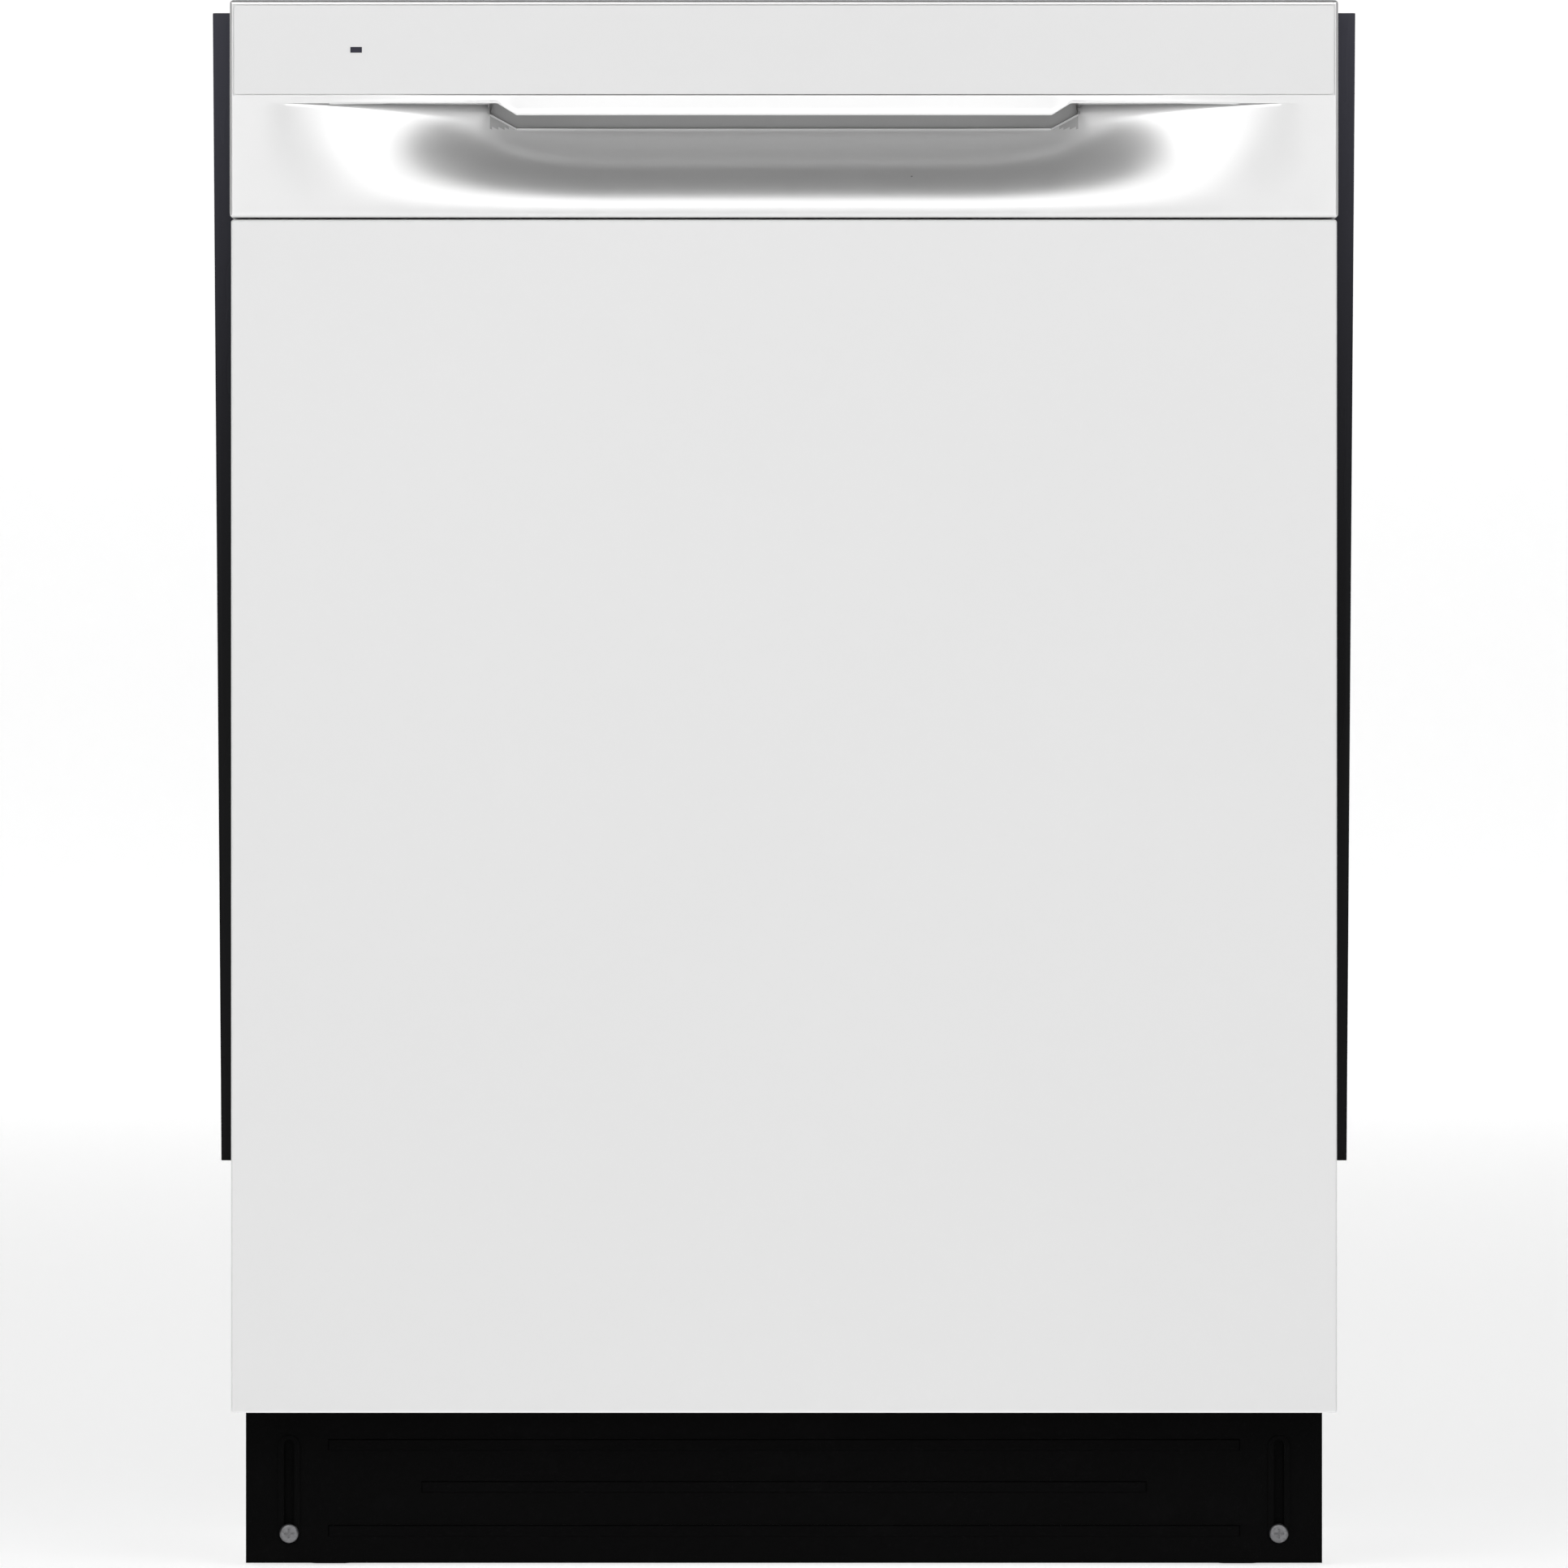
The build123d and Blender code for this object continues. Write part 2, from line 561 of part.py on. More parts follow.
def spray_arm(length, z0, z1, hub_r, hub_z0, hub_z1):
    """Tapered hollow-looking blade with a row of jets and a hub."""
    outline = [(-length, -9), (-30, -24), (30, -24), (length, -9), (length, 9), (30, 24),
               (-30, 24), (-length, 9)]
    blade = extrude(make_face(Polyline(*[(x, y + ARM_Y, z0) for x, y in outline], close=True)),
                    amount=z1 - z0)
    blade = fillet(blade.edges().filter_by(Axis.Z), 6)
    blade = fillet(blade.faces().sort_by(Axis.Z)[-1].edges(), 3.5)
    blade += rod((0, ARM_Y, hub_z0), (0, ARM_Y, hub_z1), hub_r)
    for side in (-1, 1):
        for i, x in enumerate(steps(50, length - 14, 6)):
            y = ARM_Y + (5 if i % 2 else -5)
            blade -= rod((side * x, y, z1 - 3), (side * x, y, z1 + 1), 2)
    return blade


def lower_spray_arm():
    """Arm that spins on the sump's standpipe."""
    arm = spray_arm(222, 147, 159, 20, 147, 161)
    return arm - rod((0, ARM_Y, 140), (0, ARM_Y, 157), 13.08)


def rack_feed():
    """Pipe under the upper rack that carries water to the middle arm and docks at the rear."""
    pipe = rod((0, ARM_Y, 505), (0, 275.2, 505), 9)
    pipe += rod((0, ARM_Y, 485), (0, ARM_Y, 517.7), 14)
    pipe += rod((0, ARM_Y, 470), (0, ARM_Y, 490), 9)
    pipe += rod((0, ARM_Y, 467), (0, ARM_Y, 471.6), 12)
    pipe -= rod((0, 200, 505), (0, 280, 505), 6)
    return pipe


def mid_spray_arm():
    """Arm that spins on the upper rack's water feed."""
    arm = spray_arm(215, 472, 484, 16, 472, 484.6)
    return arm - rod((0, ARM_Y, 460), (0, ARM_Y, 490), 9.08)


def heating_element():
    """Sheathed heater bent into a U a little above the tub floor."""
    x, z = ELEMENT_X, ELEMENT_Z
    return bent_rod([(-x, 200, 104), (-x, 200, z), (-x, -160, z), (x, -160, z), (x, 200, z),
                     (x, 200, 104)], 4.0, [9, 60, 60, 9])


def wash_pump():
    """Pump case and motor beside the sump, axis across the machine."""
    y, z = BASIN_Y, 72.0
    case = rod((104.2, y, z), (136, y, z), 40)
    motor = rod((136, y, z), (225, y, z), 34)
    for angle in range(0, 360, 30):
        dy, dz = 34 * cos(radians(angle)), 34 * sin(radians(angle))
        motor += rod((142, y + dy, z + dz), (218, y + dy, z + dz), 1.5)
    pump = case + motor
    pump -= rod((108, y, z), (130, y, z), 35)
    pump -= rod((125, y, z), (150, y, z), 4 + FIT)
    return pump - rod((100, y, z), (110, y, z), 13)


def wash_impeller():
    """Vaned wheel inside the wash pump."""
    y, z = BASIN_Y, 72.0
    wheel = rod((124, y, z), (127, y, z), 32) + rod((114, y, z), (127, y, z), 8)
    wheel += rod((126, y, z), (149, y, z), 4)
    vane = block(113, 125, y + 6, y + 31, z - 1.2, z + 1.2)
    for i in range(6):
        wheel += vane.rotate(Axis((0, y, z), (1, 0, 0)), 60 * i)
    return wheel


def drain_pump():
    """Small pump on the other side of the sump with its hose spigot to the rear."""
    x, y, z = -111.0, BASIN_Y, 64.0
    pump = rod((-100.2, y, z), (-122, y, z), 27) + rod((-122, y, z), (-175, y, z), 22)
    pump += rod((x, y + 20, z), (x, y + 30, z), 12.5)
    pump += rod((x, y + 20, z), (x, y + 70, z), 9.5)
    return pump - rod((x, y + 30, z), (x, y + 71, z), 7)


VALVE = (-205.0, -195.0, 62.0)


def inlet_valve():
    """Water inlet valve: body, coil, threaded inlet below and outlet to the side."""
    x, y, z = VALVE
    body = block(x - 16, x + 16, y - 16, y + 16, z - 12, z + 12)
    coil = rod((x, y, z + 12), (x, y, z + 40), 14)
    inlet = rod((x, y, z - 12), (x, y, z - 34), 10)
    outlet = rod((x + 16, y, z), (x + 30, y, z), 6)
    valve = body + coil + inlet + outlet
    valve += block(x - 16, x + 16, y - 16, y - 13, z + 10, z + 16)
    return valve - rod((x, y, z - 20), (x, y, z - 35), 7.3)


def fill_hose():
    """Rubber hose from the inlet valve to the sump."""
    x, y, z = VALVE
    return bent_rod([(x + 30.2, y, z), (-120, y, z), (-120, -60, z), (-60, -60, z + 22),
                     (-60, 0, z + 22)], 7.5, 24)


def junction_box():
    """Steel box for the supply connection with a round cable entry below."""
    box = block(142, 222, -236, -170, 26, 74)
    box -= block(144, 220, -234, -172, 28, 72)
    return box - rod((182, -203, 20), (182, -203, 30), 11.1)


def overfill_float():
    """Float cap that rides on a short post in the front corner of the tub floor."""
    x, y = FLOAT_X, FLOAT_Y
    cap = rod((x, y, 142), (x, y, 154), 19)
    cap = fillet(cap.faces().sort_by(Axis.Z)[-1].edges(), 3)
    skirt = rod((x, y, 134), (x, y, 142.5), 17)
    hollow = rod((x, y, 133), (x, y, 146), 8.08)
    return cap + skirt - hollow


# ---- racks -----------------------------------------------------------------------------------------
def floor_grid(half, front, back, z, across, along):
    """Flat welded grid of the rack's floor."""
    bars = [rod((-half, y, z), (half, y, z), MESH) for y in steps(front, back, across)]
    bars += [rod((x, front, z), (x, back, z), WIRE) for x in steps(-half, half, along)]
    return bars[0].fuse(*bars[1:])


def wall_grid(start, end, low, top, count):
    """Upright welded grid between two (x, y) points."""
    (xa, ya), (xb, yb) = start, end
    bars = [rod((xa, ya, z), (xb, yb, z), WIRE) for z in (low, (low + top) / 2, top)]
    for t in steps(0.0, 1.0, count):
        x, y = xa + (xb - xa) * t, ya + (yb - ya) * t
        bars.append(rod((x, y, low), (x, y, top), MESH))
    return bars[0].fuse(*bars[1:])


def rim(half, front, back, z):
    """Top bar of a rack: four straight runs and the four bends between them."""
    bend = 16.0
    bars = []
    for y in (front, back):
        bars.append(rod((-half + bend, y, z), (half - bend, y, z), WIRE))
    for x in (-half, half):
        bars.append(rod((x, front + bend, z), (x, back - bend, z), WIRE))
    for sx in (-1, 1):
        for y, sy in ((front, 1), (back, -1)):
            centre = Vector(sx * (half - bend), y + sy * bend, z)
            start = Plane(origin=centre - Vector(0, sy * bend, 0), z_dir=(1, 0, 0))
            turn = sx * sy * 90
            bars.append(revolve(start * Circle(WIRE), axis=Axis(centre, (0, 0, 1)), revolution_arc=turn))
    return bars


def basket(half, front, back, floor, top):
    """Floor, four walls and rim of a rack, each a welded grid that rests on the one below."""
    low = floor + 2 * WIRE
    inset = 2.2 * WIRE
    parts = [floor_grid(half, front, back, floor, 12, 11)]
    parts.append(wall_grid((-half, front), (half, front), low, top, 13))
    parts.append(wall_grid((-half, back), (half, back), low, top, 13))
    for x in (-half, half):
        parts.append(wall_grid((x, front + inset), (x, back - inset), low, top, 12))
    return parts + rim(half, front, back, top + 2 * WIRE)


def tine_row(x, front, back, count, low, high):
    """Separate upright prongs along one floor bar."""
    return [rod((x, y, low), (x, y, high), WIRE) for y in steps(front, back, count)]


def upper_rack():
    parts = basket(UPPER_HALF, UPPER_FRONT, UPPER_BACK, UPPER_FLOOR, UPPER_TOP)
    for x in (-190.4, -95.2, 95.2, 190.4):
        parts += tine_row(x, -180, 215, 10, UPPER_FLOOR + WIRE, UPPER_FLOOR + 50)
    return parts


def rack_rail():
    """Right rail of the upper rack: C channel clipped to the basket's side."""
    rail = block(251, 261, -235, 265, SLIDE_Z - 12, SLIDE_Z + 12)
    rail -= block(254, 262, -240, 270, SLIDE_Z - 9, SLIDE_Z + 9)
    for y in (-170, 20, 210):
        rail += block(UPPER_HALF + WIRE + 0.1, 252, y - 10, y + 10, SLIDE_Z - 6, SLIDE_Z + 6)
    return rail


def rail_glides():
    """Fixed guides on the tub's walls that the rack's rails run through."""
    glides = []
    for y in (-236.0, -140.0):
        glide = block(253, TUB_HALF, y, y + 22, SLIDE_Z - 18, SLIDE_Z + 18)
        glide -= block(250, 261.5, y - 5, y + 30, SLIDE_Z - 12.5, SLIDE_Z + 12.5)
        glides += [glide, mirrored(glide)]
    return glides


def cup_shelf(side):
    """Wire shelf folded up against the rack's side, hinged at its lower bar."""
    x, z = side * 231.0, 588.0
    bars = [rod((x, -150, zz), (x, 190, zz), WIRE) for zz in (z, z + 45, z + 88)]
    for y in steps(-150, 190, 12):
        bars.append(rod((x, y, z), (x, y, z + 88), MESH))
    return bars[0].fuse(*bars[1:])


def lower_rack():
    parts = basket(LOWER_HALF, LOWER_FRONT, LOWER_BACK, LOWER_FLOOR, LOWER_TOP)
    for x in (-184.0, -92.0):
        parts += tine_row(x, -190, 220, 12, LOWER_FLOOR + WIRE, LOWER_FLOOR + 92)
    return parts


def fold_tines():
    """Row of prongs on a base bar that folds down to the side."""
    z = LOWER_FLOOR + 2 * WIRE + 2.5
    bar = rod((0, -200, z), (0, 230, z), 2.2)
    return [bar] + tine_row(0, -190, 220, 12, z + 2.2, z + 84)


AXLE_Z = TUB_FLOOR + WHEEL_R + 0.1


def wheel_carriers():
    """Clips under the lower rack's side bars with the wheels' axles."""
    clips = []
    for y in WHEEL_YS:
        clip = block(236, 246, y - 9, y + 9, AXLE_Z - 8, LOWER_FLOOR + 20)
        clip += block(LOWER_HALF + WIRE + 0.1, 237, y - 9, y + 9, LOWER_FLOOR + 7, LOWER_FLOOR + 20)
        clip += rod((245, y, AXLE_Z), (260.5, y, AXLE_Z), AXLE_R)
        clip += rod((258.6, y, AXLE_Z), (260.5, y, AXLE_Z), 6.5)
        clips += [clip, mirrored(clip)]
    return clips


def wheel_pair(y):
    """The two wheels that share one axle line."""
    wheel = rod((247, y, AXLE_Z), (258, y, AXLE_Z), WHEEL_R)
    wheel = fillet(wheel.edges().filter_by(GeomType.CIRCLE), 1.5)
    wheel -= rod((240, y, AXLE_Z), (262, y, AXLE_Z), AXLE_R + FIT)
    wheel -= tube((255.5, y, AXLE_Z), (262, y, AXLE_Z), 12.5, 7.5)
    return [wheel, mirrored(wheel)]


BASKET_X = (140.0, 222.0)
BASKET_Y = (-205.0, 95.0)
BASKET_Z = (LOWER_FLOOR + WIRE + 0.4, 330.0)


def silverware_basket():
    """Six-cell cutlery basket with a carrying handle."""
    (x0, x1), (y0, y1), (z0, z1) = BASKET_X, BASKET_Y, BASKET_Z
    wall = 2.4
    box = block(x0, x1, y0, y1, z0, z1)
    mid = (x0 + x1) / 2
    rows = steps(y0, y1, 4)
    for i in range(3):
        for xa, xb in ((x0, mid), (mid, x1)):
            box -= block(xa + wall / 2 + (wall / 2 if xa == x0 else 0),
                         xb - wall / 2 - (wall / 2 if xb == x1 else 0),
                         rows[i] + wall, rows[i + 1] - wall, z0 + wall, z1 + 5)
    handle = block(mid - 3, mid + 3, y0 + 90, y1 - 90, z1 - 2, z1 + 62)
    handle -= block(mid - 5, mid + 5, y0 + 98, y1 - 98, z1 + 4, z1 + 54)
    for y in steps(y0 + 20, y1 - 20, 14):
        for z in steps(z0 + 22, z1 - 22, 5):
            box -= rod((x0 - 1, y, z), (x0 + wall + 1, y, z), 3.5)
            box -= rod((x1 - wall - 1, y, z), (x1 + 1, y, z), 3.5)
    return box + handle


# ---- every node ------------------------------------------------------------------------------------
save("console_fascia", console_fascia())
save("fascia_overlay", fascia_overlay())
save("indicator_lens", indicator_lens())
save("handle_pocket", handle_pocket())
for button_name, button_x in BUTTONS.items():
    save(button_name, push_button(button_x))
save("door_panel", door_panel())
save("inner_liner", inner_liner())
save("dispenser_body", dispenser_body())
save("dispenser_lid", dispenser_lid())
save("rinse_aid_cap", rinse_aid_cap())
save("hinge_arms", hinge_arm(), mirrored(hinge_arm()))
save("latch_housing", latch_housing())
save("latch_catch", latch_catch())
save("strike_plate", strike_plate())
save("control_housing", control_housing())
save("door_screws", *door_screws())
save("tub", tub())
save("tub_seals", *tub_gasket(), bottom_seal())
save("insulation", *insulation())
save("base_frame", *base_frame())
save("hinge_brackets", hinge_bracket(), mirrored(hinge_bracket()))
save("door_springs", door_spring(), mirrored(door_spring()))
save("side_seals", side_seal(), mirrored(side_seal()))
save("mounting_brackets", mounting_bracket(), mirrored(mounting_bracket()))
save("toe_kick", toe_kick())
save("toe_kick_screws", *toe_kick_screws())
for leg_name, leg_x, leg_y in (
    ("leg_front_left", -LEG_X, LEG_YS[0]),
    ("leg_front_right", LEG_X, LEG_YS[0]),
    ("leg_rear_left", -LEG_X, LEG_YS[1]),
    ("leg_rear_right", LEG_X, LEG_YS[1]),
):
    save(leg_name, leg(leg_x, leg_y))
save("sump", sump())
save("filter_screen", filter_screen())
save("filter_cylinder", filter_cylinder())
save("feed_tube", feed_tube())
save("lower_spray_arm", lower_spray_arm())
save("rack_feed", rack_feed())
save("mid_spray_arm", mid_spray_arm())
save("heating_element", heating_element())
save("wash_pump", wash_pump())
save("wash_impeller", wash_impeller())
save("drain_pump", drain_pump())
save("inlet_valve", inlet_valve())
save("fill_hose", fill_hose())
save("junction_box", junction_box())
save("float", overfill_float())
save("upper_rack_basket", *upper_rack())
save("rack_rails", rack_rail(), mirrored(rack_rail()))
save("rail_glides", *rail_glides())
save("cup_shelf_left", cup_shelf(-1))
save("cup_shelf_right", cup_shelf(1))
save("lower_rack_basket", *lower_rack())
save("fold_tines", *fold_tines())
save("wheel_carriers", *wheel_carriers())
for wheel_number, wheel_y in enumerate(WHEEL_YS, 1):
    save(f"wheel_pair_{wheel_number}", *wheel_pair(wheel_y))
save("silverware_basket", silverware_basket())
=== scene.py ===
# %% [markdown]
# # A built-in dishwasher
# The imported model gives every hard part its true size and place. This lesson adds the looks: it
# lights the machine, gives each part a finish made of nodes, and remodels the parts whose real
# surface is softer or finer than a plain solid, such as the scooped console, the rubber seals,
# the felt mats and the coil springs.

# %% Load the frame
import bpy
import json
import math
from mathutils import Matrix, Vector, noise


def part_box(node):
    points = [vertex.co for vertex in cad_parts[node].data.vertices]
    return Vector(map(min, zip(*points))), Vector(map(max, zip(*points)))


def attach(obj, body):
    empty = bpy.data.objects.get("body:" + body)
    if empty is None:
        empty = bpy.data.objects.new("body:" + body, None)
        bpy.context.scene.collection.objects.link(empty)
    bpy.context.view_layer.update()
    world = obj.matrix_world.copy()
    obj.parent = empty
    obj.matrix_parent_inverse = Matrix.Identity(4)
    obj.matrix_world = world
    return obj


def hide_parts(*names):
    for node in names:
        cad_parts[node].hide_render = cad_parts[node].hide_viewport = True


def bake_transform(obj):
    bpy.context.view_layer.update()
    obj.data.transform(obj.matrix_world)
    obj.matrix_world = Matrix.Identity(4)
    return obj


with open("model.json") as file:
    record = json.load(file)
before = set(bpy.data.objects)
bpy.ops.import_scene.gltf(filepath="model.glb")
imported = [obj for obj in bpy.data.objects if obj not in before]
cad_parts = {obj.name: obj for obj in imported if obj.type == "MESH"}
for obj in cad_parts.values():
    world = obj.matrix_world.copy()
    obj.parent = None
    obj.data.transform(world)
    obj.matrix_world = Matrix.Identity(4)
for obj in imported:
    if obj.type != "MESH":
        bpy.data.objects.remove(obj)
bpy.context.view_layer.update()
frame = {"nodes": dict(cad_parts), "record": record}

# %% [markdown]
# Sizes are easier to read in millimetres, and Blender works in metres, so one factor turns one
# into the other. The machine's own front plane, floor and centre come from the frame.

# %% Sizes taken from the frame
MM = 0.001
console_low, console_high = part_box("console_fascia")
FRONT = console_low.y
TOP = console_high.z
SEAM = console_low.z
print("front plane", round(FRONT, 4), "top", round(TOP, 4), "console seam", round(SEAM, 4))

# %% [markdown]
# ## Working habits
# An operator acts on everything that is selected, so each step first clears the selection and
# then picks one object. Faces and edges are chosen by rule, with a small test on their place or
# normal, which is what a person does by eye.


# %% Selection and modifier helpers
def pick(piece):
    bpy.ops.object.select_all(action="DESELECT")
    piece.select_set(True)
    bpy.context.view_layer.objects.active = piece


def name_piece(name):
    piece = bpy.context.object
    piece.name = name
    piece.data.name = name
    return piece


def apply_modifier(piece, kind, **settings):
    pick(piece)
    modifier = piece.modifiers.new(kind.title(), kind)
    for key, value in settings.items():
        setattr(modifier, key, value)
    bpy.ops.object.modifier_apply(modifier=modifier.name)


def settle(piece):
    """Move an object's place into its mesh, so that the object sits at the origin."""
    piece.data.transform(piece.matrix_world)
    piece.matrix_world = Matrix.Identity(4)


def smooth(piece, degrees=35):
    pick(piece)
    bpy.ops.object.shade_smooth_by_angle(angle=math.radians(degrees))


def join(pieces, name):
    bpy.ops.object.select_all(action="DESELECT")
    for piece in pieces:
        piece.select_set(True)
    bpy.context.view_layer.objects.active = pieces[0]
    if len(pieces) > 1:
        bpy.ops.object.join()
    return name_piece(name)


def place(piece, body, slot, material, *nodes):
    """Give a finished piece its finish, its body and the CAD nodes that it stands for."""
    settle(piece)
    piece.data.materials.clear()
    piece.data.materials.append(material)
    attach(piece, body)
    if nodes:
        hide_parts(*nodes)
    print(piece.name, len(piece.data.polygons), "faces on", body)


# %% [markdown]
# ## Light and camera
# A front view from far away keeps the door's edges straight and parallel, so the lens is long
# and the camera stands ten metres off, level with the middle of the machine. The light is that
# of a white room: a bright floor and backdrop, a tall soft light on each side, which draws the
# highlights at the two ends of the scoop, and a wide one higher up in front, which lights the
# lower edge of the scoop and the lip.

# %% Camera
CAMERA_DISTANCE = 10.0
VIEW_WIDTH = 0.8501
SENSOR = 36.0
bpy.ops.object.camera_add(location=(0.0, FRONT - CAMERA_DISTANCE, VIEW_WIDTH / 2 + 0.0009))
camera = bpy.context.object
camera.rotation_euler = (math.pi / 2, 0, 0)
camera.data.sensor_width = SENSOR
camera.data.lens = SENSOR * CAMERA_DISTANCE / VIEW_WIDTH
camera.data.clip_end = 100.0
bpy.context.scene.camera = camera
print("lens in mm", round(camera.data.lens, 1))


# %% Lights
def soft_light(name, place_at, aim_at, size, power):
    bpy.ops.object.light_add(type="AREA", location=place_at)
    light = bpy.context.object
    light.name = name
    light.data.shape = "RECTANGLE"
    light.data.size, light.data.size_y = size
    light.data.energy = power
    light.rotation_euler = (Vector(aim_at) - Vector(place_at)).to_track_quat("-Z", "Y").to_euler()
    return light


MIDDLE = (0.0, FRONT, 0.5)
SIDE_SIZE = (1.4, 3.4)
soft_light("left_softbox", (-1.1, -4.4, 1.15), MIDDLE, SIDE_SIZE, 23)
soft_light("right_softbox", (1.1, -4.4, 1.15), MIDDLE, SIDE_SIZE, 22)
soft_light("front_softbox", (-0.3, -4.2, 2.25), MIDDLE, (9.0, 1.6), 68)
print("three soft lights aimed at", MIDDLE)

# %% [markdown]
# The room itself is bright at eye level and darker overhead. That difference is what shapes the
# console: where its surface tilts up, it mirrors the dim ceiling and turns grey.

# %% Room
world = bpy.data.worlds.new("white_room")
bpy.context.scene.world = world
world.use_nodes = True
nodes = world.node_tree.nodes
links = world.node_tree.links
direction = nodes.new("ShaderNodeTexCoord")
parts = nodes.new("ShaderNodeSeparateXYZ")
height = nodes.new("ShaderNodeMapRange")
for name, value in (("From Min", 0.48), ("From Max", 0.74), ("To Min", 0.88), ("To Max", 0.08)):
    height.inputs[name].default_value = value
links.new(direction.outputs["Generated"], parts.inputs["Vector"])
links.new(parts.outputs["Z"], height.inputs["Value"])
links.new(height.outputs["Result"], nodes["Background"].inputs["Strength"])
bpy.context.scene.view_settings.view_transform = "Standard"
print("the room is bright below and dim above")

# %% [markdown]
# ## A small language for finishes
# A finish is a graph of nodes. Writing it as arithmetic is shorter and easier to check than
# placing each Math node, so `Value` wraps a socket and turns +, - and * into nodes. `Finish`
# owns one material and adds every other kind of node through one method.


# %% Shader language
class Value:
    def __init__(self, finish, socket):
        self.finish = finish
        self.socket = socket

    def _with(self, operation, other, swap=False):
        pair = (other, self) if swap else (self, other)
        return self.finish.add("ShaderNodeMath", {"operation": operation}, {0: pair[0], 1: pair[1]})

    def __add__(self, other):
        return self._with("ADD", other)

    def __radd__(self, other):
        return self._with("ADD", other, True)

    def __sub__(self, other):
        return self._with("SUBTRACT", other)

    def __rsub__(self, other):
        return self._with("SUBTRACT", other, True)

    def __mul__(self, other):
        return self._with("MULTIPLY", other)

    def __rmul__(self, other):
        return self._with("MULTIPLY", other, True)

    def __pow__(self, other):
        return self._with("POWER", other)


class Finish:
    def __init__(self, name):
        self.material = bpy.data.materials.new(name)
        self.material.use_nodes = True
        self.tree = self.material.node_tree
        self.shader = self.tree.nodes["Principled BSDF"]
        self.places = self.add("ShaderNodeTexCoord", {}, {}, "Object")

    def add(self, kind, settings, values, output=0):
        node = self.tree.nodes.new(kind)
        for key, setting in settings.items():
            if key == "stops":
                ramp = node.color_ramp
                for element, (position, grey) in zip(ramp.elements, setting):
                    element.position = position
                    element.color = (grey, grey, grey, 1.0)
            else:
                setattr(node, key, setting)
        for key, value in values.items():
            if isinstance(value, Value):
                self.tree.links.new(value.socket, node.inputs[key])
            else:
                node.inputs[key].default_value = value
        return Value(self, node.outputs[output])

    def stretch(self, x, y, z):
        """The object's own coordinates, stretched along one direction."""
        return self.add("ShaderNodeMapping", {}, {"Vector": self.places, "Scale": (x, y, z)})

    def noise(self, scale, detail=3.0, where=None, roughness=0.55):
        values = {"Vector": where or self.places, "Scale": scale, "Detail": detail,
                  "Roughness": roughness}
        return self.add("ShaderNodeTexNoise", {}, values, "Fac")

    def cells(self, scale, output="Distance", feature="F1", where=None):
        values = {"Vector": where or self.places, "Scale": scale}
        return self.add("ShaderNodeTexVoronoi", {"feature": feature}, values, output)

    def between(self, mask, low, high):
        """Stretch the part of a mask from low to high over 0 to 1."""
        stops = ((low, 0.0), (high, 1.0))
        return self.add("ShaderNodeValToRGB", {"stops": stops}, {"Fac": mask}, "Color")

    def mix(self, share, first, second):
        colour_a, colour_b, result = 6, 7, 2
        values = {"Factor": share, colour_a: first, colour_b: second}
        return self.add("ShaderNodeMix", {"data_type": "RGBA"}, values, result)

    def rise(self, low, high):
        """0 below the height low, 1 above the height high, in metres."""
        z = self.add("ShaderNodeSeparateXYZ", {}, {"Vector": self.places}, "Z")
        values = {"Value": z, "From Min": low, "From Max": high}
        return self.add("ShaderNodeMapRange", {}, values, "Result")

    def bump(self, height, strength, distance, below=None):
        values = {"Height": height, "Strength": strength, "Distance": distance}
        if below is not None:
            values["Normal"] = below
        return self.add("ShaderNodeBump", {}, values, "Normal")

    def into(self, **inputs):
        names = {"colour": "Base Color", "rough": "Roughness", "metal": "Metallic", "normal": "Normal",
                 "specular": "Specular IOR Level", "sheen": "Sheen Weight"}
        for key, value in inputs.items():
            socket = self.shader.inputs[names[key]]
            if isinstance(value, Value):
                self.tree.links.new(value.socket, socket)
            else:
                socket.default_value = value
        return self.material


def grey(level, tint=(1.0, 1.0, 1.0)):
    return (level * tint[0], level * tint[1], level * tint[2], 1.0)


# %% [markdown]
# ## White finishes
# Three whites meet on the front. The door skin is enamelled steel, which has a very faint
# orange peel. The console is glossy moulded plastic with a pearl in it, so it mirrors the room
# softly. The overlay on it is a film under clear plastic, and is the flattest of the three.
# Their difference is mostly in roughness, in the pearl and in the scale of the ripple.


# %% White finishes
def white_finish(name, level, rough, peel_scale, peel, pearl=0.0, tint=(1.0, 1.0, 1.0)):
    f = Finish(name)
    cloud = f.noise(3.0, 2.0)
    dust = f.noise(900.0, 2.0)
    colour = f.mix(cloud, grey(level * 0.985, tint), grey(level * 1.01, tint))
    colour = f.mix(f.between(dust, 0.62, 0.86) * 0.03, colour, grey(level * 0.9, tint))
    normal = f.bump(f.noise(peel_scale, 2.0), peel, 0.0004)
    return f.into(colour=colour, rough=f.noise(60.0) * 0.06 + rough, normal=normal, metal=pearl)


white_enamel = white_finish("white_enamel", 0.86, 0.34, 420.0, 0.05)
white_gloss = white_finish("white_gloss", 0.76, 0.26, 150.0, 0.012, 0.6)
white_overlay = white_finish("white_overlay", 0.85, 0.26, 260.0, 0.02)
pocket_grey = white_finish("pocket_grey", 0.42, 0.3, 300.0, 0.04, 0.3)
print("white finishes ready")
